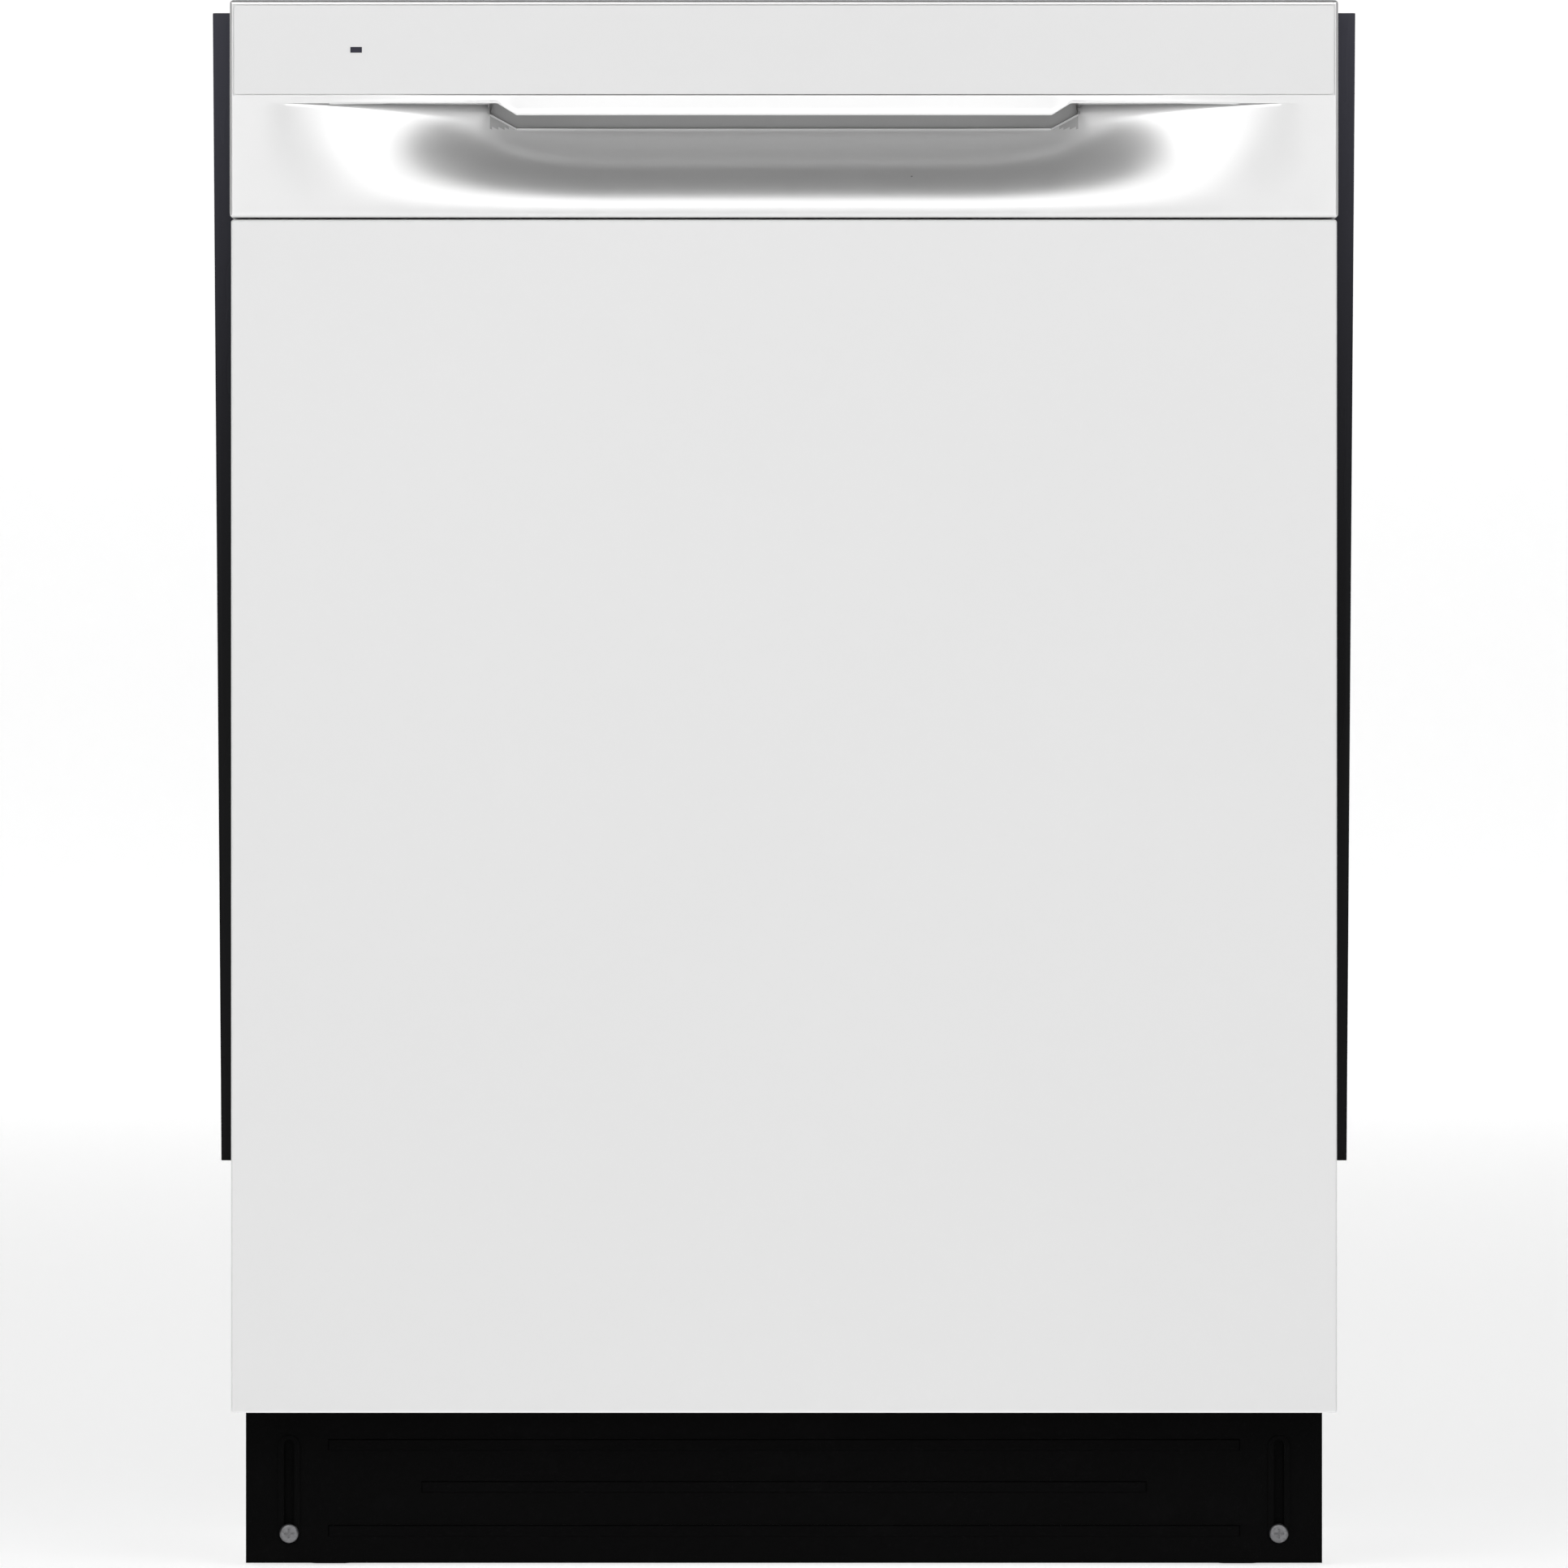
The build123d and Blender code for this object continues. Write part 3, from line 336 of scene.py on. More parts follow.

# %% [markdown]
# ## Dark finishes
# The toe kick is powder-coated steel with a satin grain. The strips beside the door are
# extruded vinyl: smooth and a little wavy along their length, with a painted reflection that makes
# them lighter and greyer towards the top. The lens is a dark plastic window with a violet tint.


# %% Dark finishes
def dark_finish(name, level, rough, grain, grain_scale, tint=(1.0, 1.0, 1.05), scuff=0.35, shine=0.5):
    f = Finish(name)
    cloud = f.noise(5.0, 4.0)
    marks = f.between(f.noise(38.0, 6.0, roughness=0.7), 0.55, 0.8)
    colour = f.mix(cloud, grey(level * 0.8, tint), grey(level * 1.25, tint))
    colour = f.mix(marks * scuff, colour, grey(min(level * 2.4 + 0.01, 1.0), tint))
    normal = f.bump(f.noise(grain_scale, 3.0), grain, 0.0004)
    return f.into(colour=colour, rough=marks * 0.1 + f.noise(20.0) * 0.08 + rough, normal=normal,
                  specular=shine)


VIOLET = (1.0, 1.0, 1.2)
black_steel = dark_finish("black_steel", 0.0012, 0.33, 0.2, 1500.0, scuff=0.1, shine=0.03)
strip = Finish("seal_strip")
# Painted reflection: the vinyl's colour turns from near-black below 0.45 m to a lighter blue-grey above
# 0.83 m, standing in for the room mirrored in the upper strip.
bloom_and_painted_reflection = strip.rise(0.45, 0.83) ** 2.0
flow = strip.noise(24.0, 4.0, strip.stretch(1.0, 1.0, 0.12))
strip_colour = strip.mix(bloom_and_painted_reflection, grey(0.0022, VIOLET), grey(0.07, (0.94, 0.94, 1.22)))
strip_colour = strip.mix(flow * 0.3, strip_colour, grey(0.008, VIOLET))
seal_strip = strip.into(colour=strip_colour, rough=flow * 0.12 + 0.22, specular=0.08,
                        normal=strip.bump(flow, 0.06, 0.0006))
seal_rubber = dark_finish("seal_rubber", 0.055, 0.55, 0.3, 900.0)
hose_rubber = dark_finish("hose_rubber", 0.02, 0.5, 0.3, 700.0)
black_plastic = dark_finish("black_plastic", 0.018, 0.42, 0.35, 1100.0)
pump_plastic = dark_finish("pump_plastic", 0.028, 0.4, 0.3, 800.0)
lens_finish = dark_finish("lens", 0.03, 0.12, 0.02, 300.0, (0.95, 0.9, 1.5), 0.05)
print("dark finishes ready")

# %% [markdown]
# ## Moulded greys
# Spray arms, wheels and the dispenser are grey polypropylene: matte, with a fine spark
# texture from the mould and a slightly chalky bloom. The racks' wires are steel dipped in nylon,
# which is smoother and glossier.


# %% Moulded finishes
def moulded(name, level, rough=0.42, tint=(0.97, 1.0, 1.04), spark=0.25, scale=1400.0):
    f = Finish(name)
    bloom_and_painted_reflection = f.noise(14.0, 5.0)
    colour = f.mix(bloom_and_painted_reflection, grey(level * 0.86, tint), grey(level * 1.1, tint))
    chalk = f.between(f.noise(120.0, 4.0), 0.55, 0.85)
    colour = f.mix(chalk * 0.12, colour, grey(min(level * 1.5, 0.9), tint))
    normal = f.bump(f.noise(scale, 2.0), spark, 0.0003)
    return f.into(colour=colour, rough=bloom_and_painted_reflection * 0.12 + rough, normal=normal)


grey_plastic = moulded("grey_plastic", 0.36)
dark_grey_plastic = moulded("dark_grey_plastic", 0.075, 0.38)
wheel_grey = moulded("wheel_grey", 0.24, 0.45)
button_grey = moulded("button_grey", 0.16, 0.4, (1.0, 1.0, 1.02))
valve_plastic = moulded("valve_plastic", 0.55, 0.45, (1.0, 0.99, 0.95))
coated_wire = moulded("coated_wire", 0.30, 0.3, (0.95, 1.0, 1.06), 0.12, 500.0)
print("moulded finishes ready")

# %% [markdown]
# ## Metals
# Stainless sheet is rolled, so its fine scratches run one way: the noise is stretched along that
# way and drives both colour and roughness. Galvanised steel shows zinc crystals, which a Voronoi
# pattern gives as patches of different grey.


# %% Metals
def brushed(name, level, rough, along, tint=(1.0, 0.99, 0.975), scratch=0.12):
    f = Finish(name)
    where = f.stretch(*along)
    lines = f.noise(900.0, 4.0, where, 0.7)
    stain = f.noise(6.0, 4.0)
    colour = f.mix(lines, grey(level * 0.8, tint), grey(min(level * 1.15, 1.0), tint))
    colour = f.mix(f.between(stain, 0.45, 0.75) * 0.15, colour, grey(level * 0.7, (1.0, 0.97, 0.93)))
    return f.into(colour=colour, metal=1.0, rough=lines * 0.16 + stain * 0.08 + rough,
                  normal=f.bump(lines, scratch, 0.0002))


def galvanised(name, level, rough, scale, tint=(0.98, 1.0, 1.02)):
    f = Finish(name)
    patch = f.add("ShaderNodeSeparateColor", {}, {"Color": f.cells(scale, "Color")}, "Red")
    smear = f.noise(24.0, 5.0)
    colour = f.mix(patch, grey(level * 0.75, tint), grey(min(level * 1.12, 1.0), tint))
    colour = f.mix(smear * 0.25, colour, grey(level * 0.7, tint))
    return f.into(colour=colour, metal=0.95, rough=patch * 0.14 + smear * 0.1 + rough,
                  normal=f.bump(f.noise(500.0), 0.06, 0.0002))


stainless_across = brushed("stainless_across", 0.8, 0.24, (0.02, 1.0, 1.0))
stainless_along = brushed("stainless_along", 0.8, 0.26, (1.0, 0.02, 1.0))
galvanised_steel = galvanised("galvanised_steel", 0.55, 0.3, 110.0)
spring_steel = brushed("spring_steel", 0.35, 0.3, (1.0, 0.05, 1.0))
screw_steel = galvanised("screw_steel", 0.2, 0.28, 900.0, (1.0, 1.0, 1.03))
heater_steel = brushed("heater_steel", 0.3, 0.38, (1.0, 1.0, 0.3), (1.0, 0.96, 0.9))
print("metals ready")

# %% [markdown]
# ## Felt
# The sound mats are bitumen-backed felt. Felt has no weave: short fibres lie in every direction,
# so two noises stretched across each other, with a coarser lump below them, read as fibre.


# %% Felt
def felt(name):
    f = Finish(name)
    fibre_a = f.noise(700.0, 3.0, f.stretch(1.0, 0.12, 0.35))
    fibre_b = f.noise(700.0, 3.0, f.stretch(1.0, 0.5, 0.1))
    lump = f.noise(45.0, 4.0)
    colour = f.mix(fibre_a * fibre_b, grey(0.022), grey(0.16, (1.0, 0.99, 0.98)))
    colour = f.mix(f.between(f.cells(260.0), 0.0, 0.1) * 0.25, colour, grey(0.2, (0.85, 0.95, 1.1)))
    height = fibre_a * 0.4 + fibre_b * 0.4 + lump
    return f.into(colour=colour, rough=0.93, sheen=0.12, normal=f.bump(height, 0.7, 0.0015))


insulation_mat = felt("insulation_mat")
finishes = {
    "white_enamel": white_enamel, "white_gloss": white_gloss, "white_overlay": white_overlay,
    "pocket_grey": pocket_grey, "lens": lens_finish, "black_steel": black_steel,
    "seal_strip": seal_strip, "seal_rubber": seal_rubber, "stainless": stainless_across,
    "galvanised_steel": galvanised_steel, "spring_steel": spring_steel, "screw_steel": screw_steel,
    "heater_steel": heater_steel, "insulation_mat": insulation_mat, "coated_wire": coated_wire,
    "grey_plastic": grey_plastic, "dark_grey_plastic": dark_grey_plastic, "wheel_grey": wheel_grey,
    "button_grey": button_grey, "black_plastic": black_plastic, "pump_plastic": pump_plastic,
    "valve_plastic": valve_plastic, "hose_rubber": hose_rubber,
}

# %% [markdown]
# ## Finishes on the parts that stay as they are
# The record says which slot each part belongs to, so one loop gives every CAD part its finish.
# A part is never moved, and its mesh is left alone: only its material changes. Three parts are
# rolled the other way, and the base frame is painted black behind the toe kick's slots.

# %% Paint the CAD parts
slots = {s["node"]: s["material_slot"] for s in frame["record"]["subparts"]}
for node, part in frame["nodes"].items():
    part.data.materials.clear()
    part.data.materials.append(finishes[slots[node]])
for node in ("tub", "rack_rails", "filter_screen"):
    frame["nodes"][node].data.materials[0] = stainless_along
frame["nodes"]["base_frame"].data.materials[0] = black_steel
print(len(frame["nodes"]), "parts painted")

# %% [markdown]
# ## The floor
# A pale floor runs back and curves up into a wall, so no horizon cuts the view. It belongs to
# the studio and not to the machine.

# %% Floor and backdrop
bpy.ops.object.select_all(action="DESELECT")
bpy.ops.mesh.primitive_plane_add(size=1.0, location=(0.0, -2.0, -0.0005))
floor = name_piece("studio_floor")
FLOOR_SIZE = 44.0
WALL_HEIGHT = 14.0
floor.scale = (FLOOR_SIZE, FLOOR_SIZE, 1.0)
bpy.ops.object.transform_apply(location=True, scale=True)
bpy.ops.object.mode_set(mode="EDIT")
bpy.ops.mesh.select_all(action="DESELECT")
bpy.ops.object.mode_set(mode="OBJECT")
back_edge = max(v.co.y for v in floor.data.vertices)
for edge in floor.data.edges:
    edge.select = all(floor.data.vertices[i].co.y > back_edge - 0.01 for i in edge.vertices)
bpy.ops.object.mode_set(mode="EDIT")
bpy.ops.mesh.select_mode(type="EDGE")
bpy.ops.mesh.extrude_region_move(TRANSFORM_OT_translate={"value": (0.0, 0.0, WALL_HEIGHT)})
bpy.ops.object.mode_set(mode="OBJECT")
apply_modifier(floor, "BEVEL", width=2.0, segments=12)
smooth(floor, 60)
paper = Finish("studio_paper")
speck = paper.noise(40.0)
paper.into(colour=paper.mix(speck, grey(0.9), grey(0.93)), rough=0.85)
paper.shader.inputs["Emission Color"].default_value = grey(1.0)
paper.shader.inputs["Emission Strength"].default_value = 0.7
floor.data.materials.append(paper.material)
print("the floor is ready")

# %% [markdown]
# ## The console
# The console is one injection moulding. A long hollow sinks into it under the lip, deepest in
# the middle and fading out towards both ends, and the fingers reach up behind the lip. A boolean
# would leave a faceted hollow, and a subdivision cage would need many control loops, so the
# surface is a fine grid whose points are placed by two smooth curves: one across the width and
# one up the height. The rows run on behind the lip, so that the underside and the pocket are
# part of the same skin.

# %% Shape of the scoop
SCOOP_HALF = 283 * MM
SCOOP_FLAT = 92 * MM
WEDGE_HALF = 270 * MM
SCOOP_LOW = SEAM + 2.5 * MM
SCOOP_TOP = SEAM + 62 * MM
SCOOP_DEEP = 24 * MM
LIP_LOW = SEAM + 55.5 * MM
LIP_HALF = 145 * MM
LIP_RAMP = 10.5 * MM
POCKET_HALF = 159.7 * MM
POCKET_LOW = SEAM + 49 * MM
POCKET_END_LOW = SEAM + 57 * MM
POCKET_TOP = SEAM + 63.8 * MM
POCKET_BACK = 29.6 * MM
LIP_THICK = 3 * MM
LIP_LEAN = 0.9 * MM
CONSOLE_HALF = console_high.x
CONSOLE_BACK = console_high.y


def ease(t):
    t = min(max(t, 0.0), 1.0)
    return t * t * (3 - 2 * t)


def across(x):
    """Share of the full depth at this distance from the middle."""
    return ease((SCOOP_HALF - abs(x)) / (SCOOP_HALF - SCOOP_FLAT))


def upward(z):
    """Share of the full depth at this height: 1 at the pocket's lower edge, and a little more above."""
    t = min(max((z - SCOOP_LOW) / (POCKET_LOW - SCOOP_LOW), 0.0), 1.5)
    return (math.sin(t * math.pi / 3) / math.sin(math.pi / 3)) ** 2.0


def lip_edge(x):
    """Height of the lip's lower edge."""
    t = (abs(x) - LIP_HALF) / LIP_RAMP
    return LIP_LOW + (SCOOP_TOP - LIP_LOW) * min(max(t, 0.0), 1.0)


def pocket_edge(x):
    """Height of the pocket's lower edge, which climbs beside the lip's ramp."""
    t = (abs(x) - LIP_HALF) / (POCKET_HALF - LIP_HALF)
    return POCKET_LOW + (POCKET_END_LOW - POCKET_LOW) * min(max(t, 0.0), 1.0)


def wedge(x):
    """Height of the narrow shadowed wedge under the lip, outside the pocket."""
    t = (WEDGE_HALF - abs(x)) / (WEDGE_HALF - POCKET_HALF)
    return (SCOOP_TOP - POCKET_END_LOW + 1.5 * MM) * min(max(t, 0.0), 1.0)


print("depth at a third of the height", round(upward(SCOOP_LOW + 18 * MM) * SCOOP_DEEP, 4))


# %% Grid lines of the console
def spread(first, last, count):
    return [first + (last - first) * i / (count - 1) for i in range(count)]


EDGE = 1.6 * MM
OVERLAY_HALF = 298.7 * MM
OVERLAY_LOW = SEAM + 66.4 * MM
OVERLAY_HIGH = TOP - 2.4 * MM
OVERLAY_SINK = 1.75 * MM
rounding = [(1 - math.cos(a), 1 - math.sin(a)) for a in spread(0.0, math.pi / 2, 5)]
CONSOLE_DEPTH = CONSOLE_BACK - FRONT
side_lines = [(CONSOLE_HALF, CONSOLE_DEPTH)]
side_lines += [(CONSOLE_HALF - EDGE * inward, EDGE * back) for inward, back in rounding]
side_lines += [(OVERLAY_HALF + 0.1 * MM, 0.0), (OVERLAY_HALF, 0.0)]
middle_lines = spread(296 * MM, 162 * MM, 60) + [POCKET_HALF + 0.05 * MM]
middle_lines += spread(POCKET_HALF, LIP_HALF, 14) + spread(141 * MM, 0.0, 36)
half_lines = side_lines + [(x, 0.0) for x in middle_lines]
columns = [(-x, back) for x, back in half_lines] + [(x, back) for x, back in reversed(half_lines[:-1])]
print(len(columns), "columns")


# %% Rows of the console from the bottom edge to the top edge
SCOOP_ROWS = 35
WEDGE_SLOPE = 1.1


def profile(x):
    """Points (height, distance behind the front) up the console at this x."""
    share = across(x)
    deep = SCOOP_DEEP * share
    inside = abs(x) < POCKET_HALF + 0.01 * MM
    edge = lip_edge(x)
    rows = [(SEAM, CONSOLE_DEPTH)]
    rows += [(SEAM + EDGE * inward, EDGE * back) for inward, back in rounding]
    band = 0.0 if inside else wedge(x)
    shoulder = pocket_edge(x) if inside else edge - band
    rows += [(z, deep * upward(z)) for z in spread(SEAM + EDGE, shoulder, SCOOP_ROWS)[1:]]
    bottom = deep * upward(shoulder)
    rows += [(shoulder + (band - 0.1 * MM * share) * t, bottom + WEDGE_SLOPE * band * t ** 1.6)
             for t in spread(1 / 6, 1.0, 6)]
    if inside:
        roof = [(shoulder + 0.5 * MM, bottom + 1.2 * MM), (shoulder + 0.6 * MM, POCKET_BACK),
                (POCKET_TOP, POCKET_BACK), (POCKET_TOP, LIP_THICK + 1 * MM),
                (edge + 0.8 * MM, LIP_THICK), (edge + 0.3 * MM, 0.8 * LIP_THICK)]
    else:
        roof = [(edge - 0.1 * MM * share * (1 - t), (bottom + WEDGE_SLOPE * band) * (1 - t))
                for t in spread(0.1, 0.95, 6)]
    round_off = MM * min(share * 4, 1)
    rows += roof + [(edge, 0.6 * round_off), (edge + 0.25 * MM, 0.15 * round_off), (edge + 0.8 * MM, 0.0)]
    rows += [(z, LIP_LEAN * (z - edge) / (OVERLAY_LOW - edge) * share)
             for z in spread(edge + 1.2 * MM, OVERLAY_LOW - 0.1 * MM, 4)]
    rows += [(OVERLAY_LOW, 0.0)] + [(z, 0.0) for z in spread(OVERLAY_LOW + 0.05 * MM, OVERLAY_HIGH, 14)]
    rows += [(OVERLAY_HIGH + 0.05 * MM, 0.0)]
    rows += [(TOP - EDGE * inward, EDGE * back) for inward, back in reversed(rounding)]
    rows.append((TOP, CONSOLE_DEPTH))
    return rows


row_count = len(profile(0.0))
print(row_count, "rows, all columns alike:", len(profile(0.25)) == row_count)

# %% Lay the grid on those lines
def lay_grid(name, rows):
    """A grid whose points lie on the given rows; points that meet are merged."""
    bpy.ops.object.select_all(action="DESELECT")
    across_count, up_count = len(rows[0]) - 1, len(rows) - 1
    bpy.ops.mesh.primitive_grid_add(x_subdivisions=across_count, y_subdivisions=up_count, size=2.0)
    piece = name_piece(name)
    piece.data.vertices.foreach_set("co", [value for row in rows for point in row for value in point])
    bpy.ops.object.mode_set(mode="EDIT")
    bpy.ops.mesh.select_all(action="SELECT")
    bpy.ops.mesh.remove_doubles(threshold=0.00001)
    bpy.ops.mesh.normals_make_consistent(inside=False)
    bpy.ops.object.mode_set(mode="OBJECT")
    return piece


CORNER = 2.2 * MM
rows = []
for z_index in range(row_count):
    row = []
    for x, back in columns:
        z, behind = profile(x)[z_index]
        y = FRONT + max(behind, back)
        if abs(x) <= OVERLAY_HALF + 0.01 * MM and OVERLAY_LOW < z < OVERLAY_HIGH + 0.02 * MM:
            y = FRONT + OVERLAY_SINK
        corner_x = max(abs(x) - (CONSOLE_HALF - CORNER), 0.0)
        corner_z = max(z - (TOP - CORNER), SEAM + CORNER - z, 0.0)
        reach = math.hypot(corner_x, corner_z)
        if reach > CORNER:
            x = math.copysign(CONSOLE_HALF - CORNER + corner_x * CORNER / reach, x)
            up = corner_z * CORNER / reach
            z = TOP - CORNER + up if z > TOP - CORNER else SEAM + CORNER - up
        row.append((x, y, z))
    rows.append(row)
console = lay_grid("console_shell", rows)
print("console grid", len(console.data.vertices), "points")

# %% [markdown]
# The part of the skin behind the lip is a separate insert on the real machine, with a short seam
# at each end, and is given a darker grey here. The faces are chosen by their place and separated.


# %% Separate the pocket insert
def separate(piece, rule, name):
    pick(piece)
    bpy.ops.object.mode_set(mode="EDIT")
    bpy.ops.mesh.select_mode(type="FACE")
    bpy.ops.mesh.select_all(action="DESELECT")
    bpy.ops.object.mode_set(mode="OBJECT")
    for face in piece.data.polygons:
        face.select = rule(face.center)
    bpy.ops.object.mode_set(mode="EDIT")
    bpy.ops.mesh.separate(type="SELECTED")
    bpy.ops.object.mode_set(mode="OBJECT")
    other = [o for o in bpy.context.selected_objects if o != piece][0]
    pick(other)
    return name_piece(name)


def in_pocket(centre):
    behind = centre.y - FRONT
    low_enough = POCKET_LOW - 0.01 * MM < centre.z < POCKET_TOP + 1 * MM
    return abs(centre.x) < POCKET_HALF + 0.04 * MM and low_enough and behind > LIP_THICK * 1.02


pocket = separate(console, in_pocket, "pocket_insert")
for piece in (console, pocket):
    apply_modifier(piece, "SOLIDIFY", thickness=1.2 * MM, offset=-1.0)
    smooth(piece, 40)
place(console, "door", "white_gloss", white_gloss, "console_fascia")
place(pocket, "door", "pocket_grey", pocket_grey, "handle_pocket")

# %% [markdown]
# ## Side strips
# A vinyl strip on each side closes the gap to the cupboard. It is extruded flat and only held
# along its inner edge, so its free edge wanders a little. A thin grid gets that wander, then a
# thickness, then a rounded edge.

# %% Side strips
strip_low, strip_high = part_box("side_seals")
STRIP_IN = 286.4 * MM
STRIP_TAPER = 4.7 * MM
strips = []
for side in (-1, 1):
    rows = []
    for z in spread(strip_low.z, strip_high.z, 70):
        share = (z - strip_low.z) / (strip_high.z - strip_low.z)
        outer = strip_high.x - 0.02 * MM - STRIP_TAPER * (1 - share)
        wander = 0.35 * MM * math.sin(share * 9.0 + side)
        row = []
        for t in spread(0.0, 1.0, 9):
            y = (strip_low.y + strip_high.y) / 2 + wander * t - 0.2 * MM * math.sin(t * math.pi)
            row.append((side * (STRIP_IN + (outer - STRIP_IN) * t), y, z))
        rows.append(row)
    strip = lay_grid("side_strip", rows)
    apply_modifier(strip, "SOLIDIFY", thickness=1.3 * MM, offset=0.0)
    apply_modifier(strip, "BEVEL", width=0.4 * MM, segments=3, limit_method="ANGLE")
    strips.append(strip)
strip = join(strips, "side_strips")
smooth(strip)
place(strip, "cabinet", "seal_strip", seal_strip, "side_seals")

# %% [markdown]
# ## Door gasket
# The seal round the tub's mouth is a hollow rubber bulb on a flat foot. One outline swept along
# the mouth gives both, and the sill has its own low lip.


# %% Gasket and sill lip
def sweep(name, path, outline):
    """Sweep an outline (outward, rearward) along a path of (x, z, outward x, outward z)."""
    loop = outline + outline[:1]
    return lay_grid(name, [[(x + ox * u, v, z + oz * u) for u, v in loop] for x, z, ox, oz in path])


seal_low, seal_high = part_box("tub_seals")
BULB = 4.3 * MM
bulb_y = seal_low.y + BULB + 0.3 * MM
foot_y = bulb_y + 9.5 * MM
outline = [(BULB * math.cos(a), bulb_y - BULB * math.sin(a)) for a in spread(-0.9, math.pi + 0.9, 15)]
outline += [(-2.0 * MM, bulb_y + 4.6 * MM), (-4.0 * MM, foot_y - 1.2 * MM), (-4.0 * MM, foot_y),
            (4.0 * MM, foot_y), (4.0 * MM, foot_y - 1.2 * MM), (2.0 * MM, bulb_y + 4.6 * MM)]
half_x, top_z = seal_high.x - 4.4 * MM, seal_high.z - 4.4 * MM
TURN = 16 * MM
GASKET_FOOT = 150 * MM
path = [(-half_x, z, -1, 0) for z in spread(GASKET_FOOT, top_z - TURN, 40)]
path += [(-half_x + TURN - TURN * math.cos(a), top_z - TURN + TURN * math.sin(a), -math.cos(a), math.sin(a))
         for a in spread(0.1, 1.47, 10)]
path += [(x, top_z, 0, 1) for x in spread(-half_x + TURN, half_x - TURN, 40)]
path += [(half_x - TURN + TURN * math.sin(a), top_z - TURN + TURN * math.cos(a), math.sin(a), math.cos(a))
         for a in spread(0.1, 1.47, 10)]
path += [(half_x, z, 1, 0) for z in spread(top_z - TURN, GASKET_FOOT, 40)]
gasket = sweep("gasket", path, outline)
lip_outline = [(3.5 * MM, -263.1 * MM), (-3.5 * MM, -263.1 * MM), (-3.8 * MM, -263.8 * MM),
               (-1.0 * MM, -264.4 * MM), (2.2 * MM, -265.0 * MM), (3.6 * MM, -264.3 * MM)]
lip_path = [(x, 123.5 * MM, 0, 1) for x in spread(-255.5 * MM, 255.5 * MM, 60)]
sill = sweep("sill_lip", lip_path, lip_outline)
gasket = join([gasket, sill], "door_gasket")
smooth(gasket, 50)
place(gasket, "cabinet", "seal_rubber", seal_rubber, "tub_seals")

# %% [markdown]
# ## Sound mats
# Felt mats are cut from a roll and pressed on, so their faces are lumpy and their edges soft.
# Each starts as a block, is cut finely, and every point is then moved by smooth noise.


# %% Sound mats
def mat(name, low, high, cuts, lump):
    bpy.ops.object.select_all(action="DESELECT")
    bpy.ops.mesh.primitive_cube_add(size=1.0)
    piece = name_piece(name)
    size = [b - a for a, b in zip(low, high)]
    middle = [(a + b) / 2 for a, b in zip(low, high)]
    piece.data.transform(Matrix.Translation(middle) @ Matrix.Diagonal((*size, 1.0)))
    apply_modifier(piece, "BEVEL", width=min(size) * 0.35, segments=3)
    for axis in range(3):
        if size[axis] < 0.05:
            continue
        for step in spread(low[axis], high[axis], cuts)[1:-1]:
            point, normal = [0.0, 0.0, 0.0], [0.0, 0.0, 0.0]
            point[axis], normal[axis] = step, 1.0
            bpy.ops.object.mode_set(mode="EDIT")
            bpy.ops.mesh.select_all(action="SELECT")
            bpy.ops.mesh.bisect(plane_co=point, plane_no=normal)
            bpy.ops.object.mode_set(mode="OBJECT")
    thin = size.index(min(size))
    for vertex in piece.data.vertices:
        inward = -1 if vertex.co[thin] > middle[thin] else 1
        vertex.co[thin] += inward * lump * (0.5 + 0.5 * noise.noise(vertex.co * 14.0))
    return piece


mat_low, mat_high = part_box("insulation")
MAT_IN = 275.6 * MM
MAT_HALF = 250 * MM
MAT_REAR = 299 * MM
MAT_TOP = 800 * MM
CUTS = 26
LUMP = 1.6 * MM
low_x, low_y, low_z = mat_low
high_x, high_y, high_z = mat_high
mats = [
    mat("mat_left", (low_x, low_y, low_z), (-MAT_IN, MAT_REAR, MAT_TOP), CUTS, LUMP),
    mat("mat_right", (MAT_IN, low_y, low_z), (high_x, MAT_REAR, MAT_TOP), CUTS, LUMP),
    mat("mat_top", (-MAT_HALF, low_y, 822.6 * MM), (MAT_HALF, MAT_REAR, high_z), CUTS, LUMP),
    mat("mat_back", (-MAT_HALF, 302.9 * MM, low_z), (MAT_HALF, high_y, MAT_TOP), CUTS, LUMP),
]
felt_mats = join(mats, "sound_mats")
smooth(felt_mats, 60)
place(felt_mats, "cabinet", "insulation_mat", insulation_mat, "insulation")

# %% [markdown]
# ## Fill hose
# The hose is moulded rubber, pushed onto a spigot at each end. A smooth path round its corners,
# given a round thickness, is the shape that it is moulded in.

# %% Fill hose
HOSE_R = 7.4 * MM
hose_points = [(-174.8, -195, 62), (-160, -195, 62), (-122, -195, 62), (-119, -160, 62), (-120, -90, 62),
               (-118, -60, 64), (-90, -60, 72), (-62, -58, 83), (-60, -30, 84), (-60, 0, 84)]


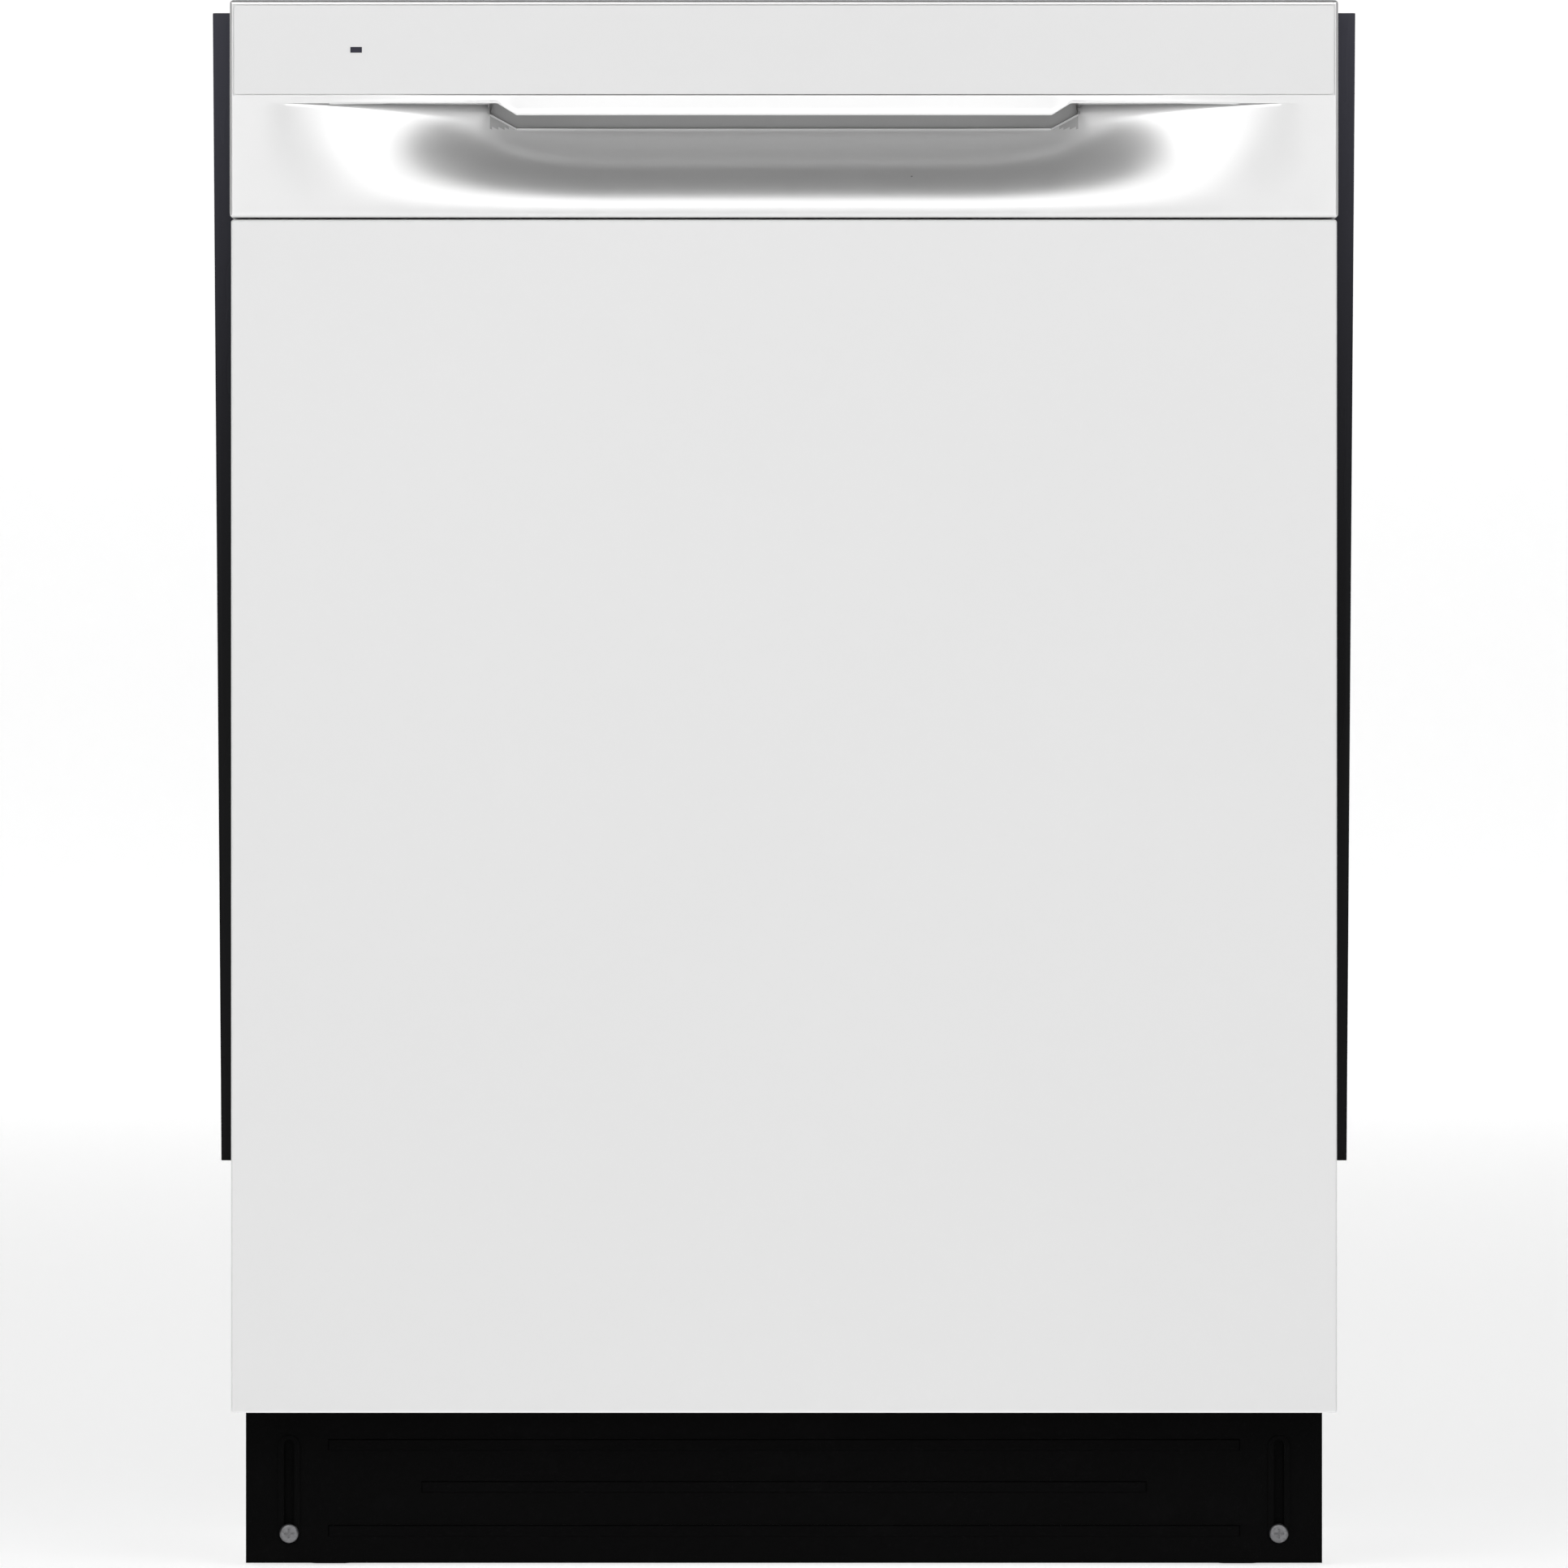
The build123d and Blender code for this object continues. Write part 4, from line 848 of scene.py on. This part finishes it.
def wire(name, points, radius, steps=8, roundness=3):
    """A round wire or hose along a smooth line with these control points, in millimetres."""
    bpy.ops.object.select_all(action="DESELECT")
    bpy.ops.curve.primitive_nurbs_path_add()
    piece = name_piece(name)
    line = piece.data.splines[0]
    line.points.add(max(len(points) - len(line.points), 0))
    for spot, place_at in zip(line.points, points):
        spot.co = (*[value * MM for value in place_at], 1.0)
    line.order_u = 3
    line.use_endpoint_u = True
    line.resolution_u = steps
    piece.data.bevel_depth = radius
    piece.data.bevel_resolution = roundness
    pick(piece)
    bpy.ops.object.convert(target="MESH")
    return bpy.context.object


hose = wire("fill_hose_rubber", hose_points, HOSE_R, 10, 6)
smooth(hose, 60)
place(hose, "cabinet", "hose_rubber", hose_rubber, "fill_hose")

# %% [markdown]
# ## Door springs
# Each coil is one wire wound on a mandrel. A small ring is screwed round the coil's axis, which
# is the same motion as winding. The link to the door's arm is a separate wire, curved between the
# base and the door.

# %% Door springs
COIL_R = 6.9 * MM
WIRE_R = 1.5 * MM
LINK_R = 1.4 * MM
TURNS = 40
PITCH = 3.2 * MM
SPRING_X = 278
COIL_START = Vector((0.0, -190 * MM, 108 * MM))
TAIL = [(-64, 101.2), (-56, 101.5), (-48, 105), (-42, 106), (-36, 108)]
HOOK = [(278, -186, 114), (277.8, -196, 113), (277, -212, 115), (276, -245, 119.5), (275.2, -265, 122),
        (275.2, -275, 124.5), (275.2, -286, 130)]
links_made, coils = [], []
for side in (-1, 1):
    bpy.ops.object.select_all(action="DESELECT")
    bpy.ops.mesh.primitive_circle_add(vertices=8, radius=WIRE_R)
    coil = name_piece("coil")
    coil.data.transform(Matrix.Translation((COIL_R, 0.0, 0.0)) @ Matrix.Rotation(math.pi / 2, 4, "X"))
    apply_modifier(coil, "SCREW", axis="Z", screw_offset=PITCH, iterations=TURNS, steps=20, render_steps=20)
    start = COIL_START + Vector((side * SPRING_X * MM, 0.0, 0.0))
    coil.data.transform(Matrix.Translation(start) @ Matrix.Rotation(-math.pi / 2, 4, "X"))
    tail = wire("tail", [(side * SPRING_X, y, z) for y, z in TAIL], LINK_R)
    coils += [coil, tail]
    links_made.append(wire("hook", [(side * x, y, z) for x, y, z in HOOK], LINK_R))
coil = join(coils, "spring_coils")
smooth(coil, 60)
place(coil, "cabinet", "spring_steel", spring_steel, "door_springs")
for side, hook in zip(("left", "right"), links_made):
    hook.name = hook.data.name = f"spring_link_{side}"
    smooth(hook, 60)
    hook.data.materials.append(spring_steel)
    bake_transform(hook)
    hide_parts("door_springs")
print("springs ready")
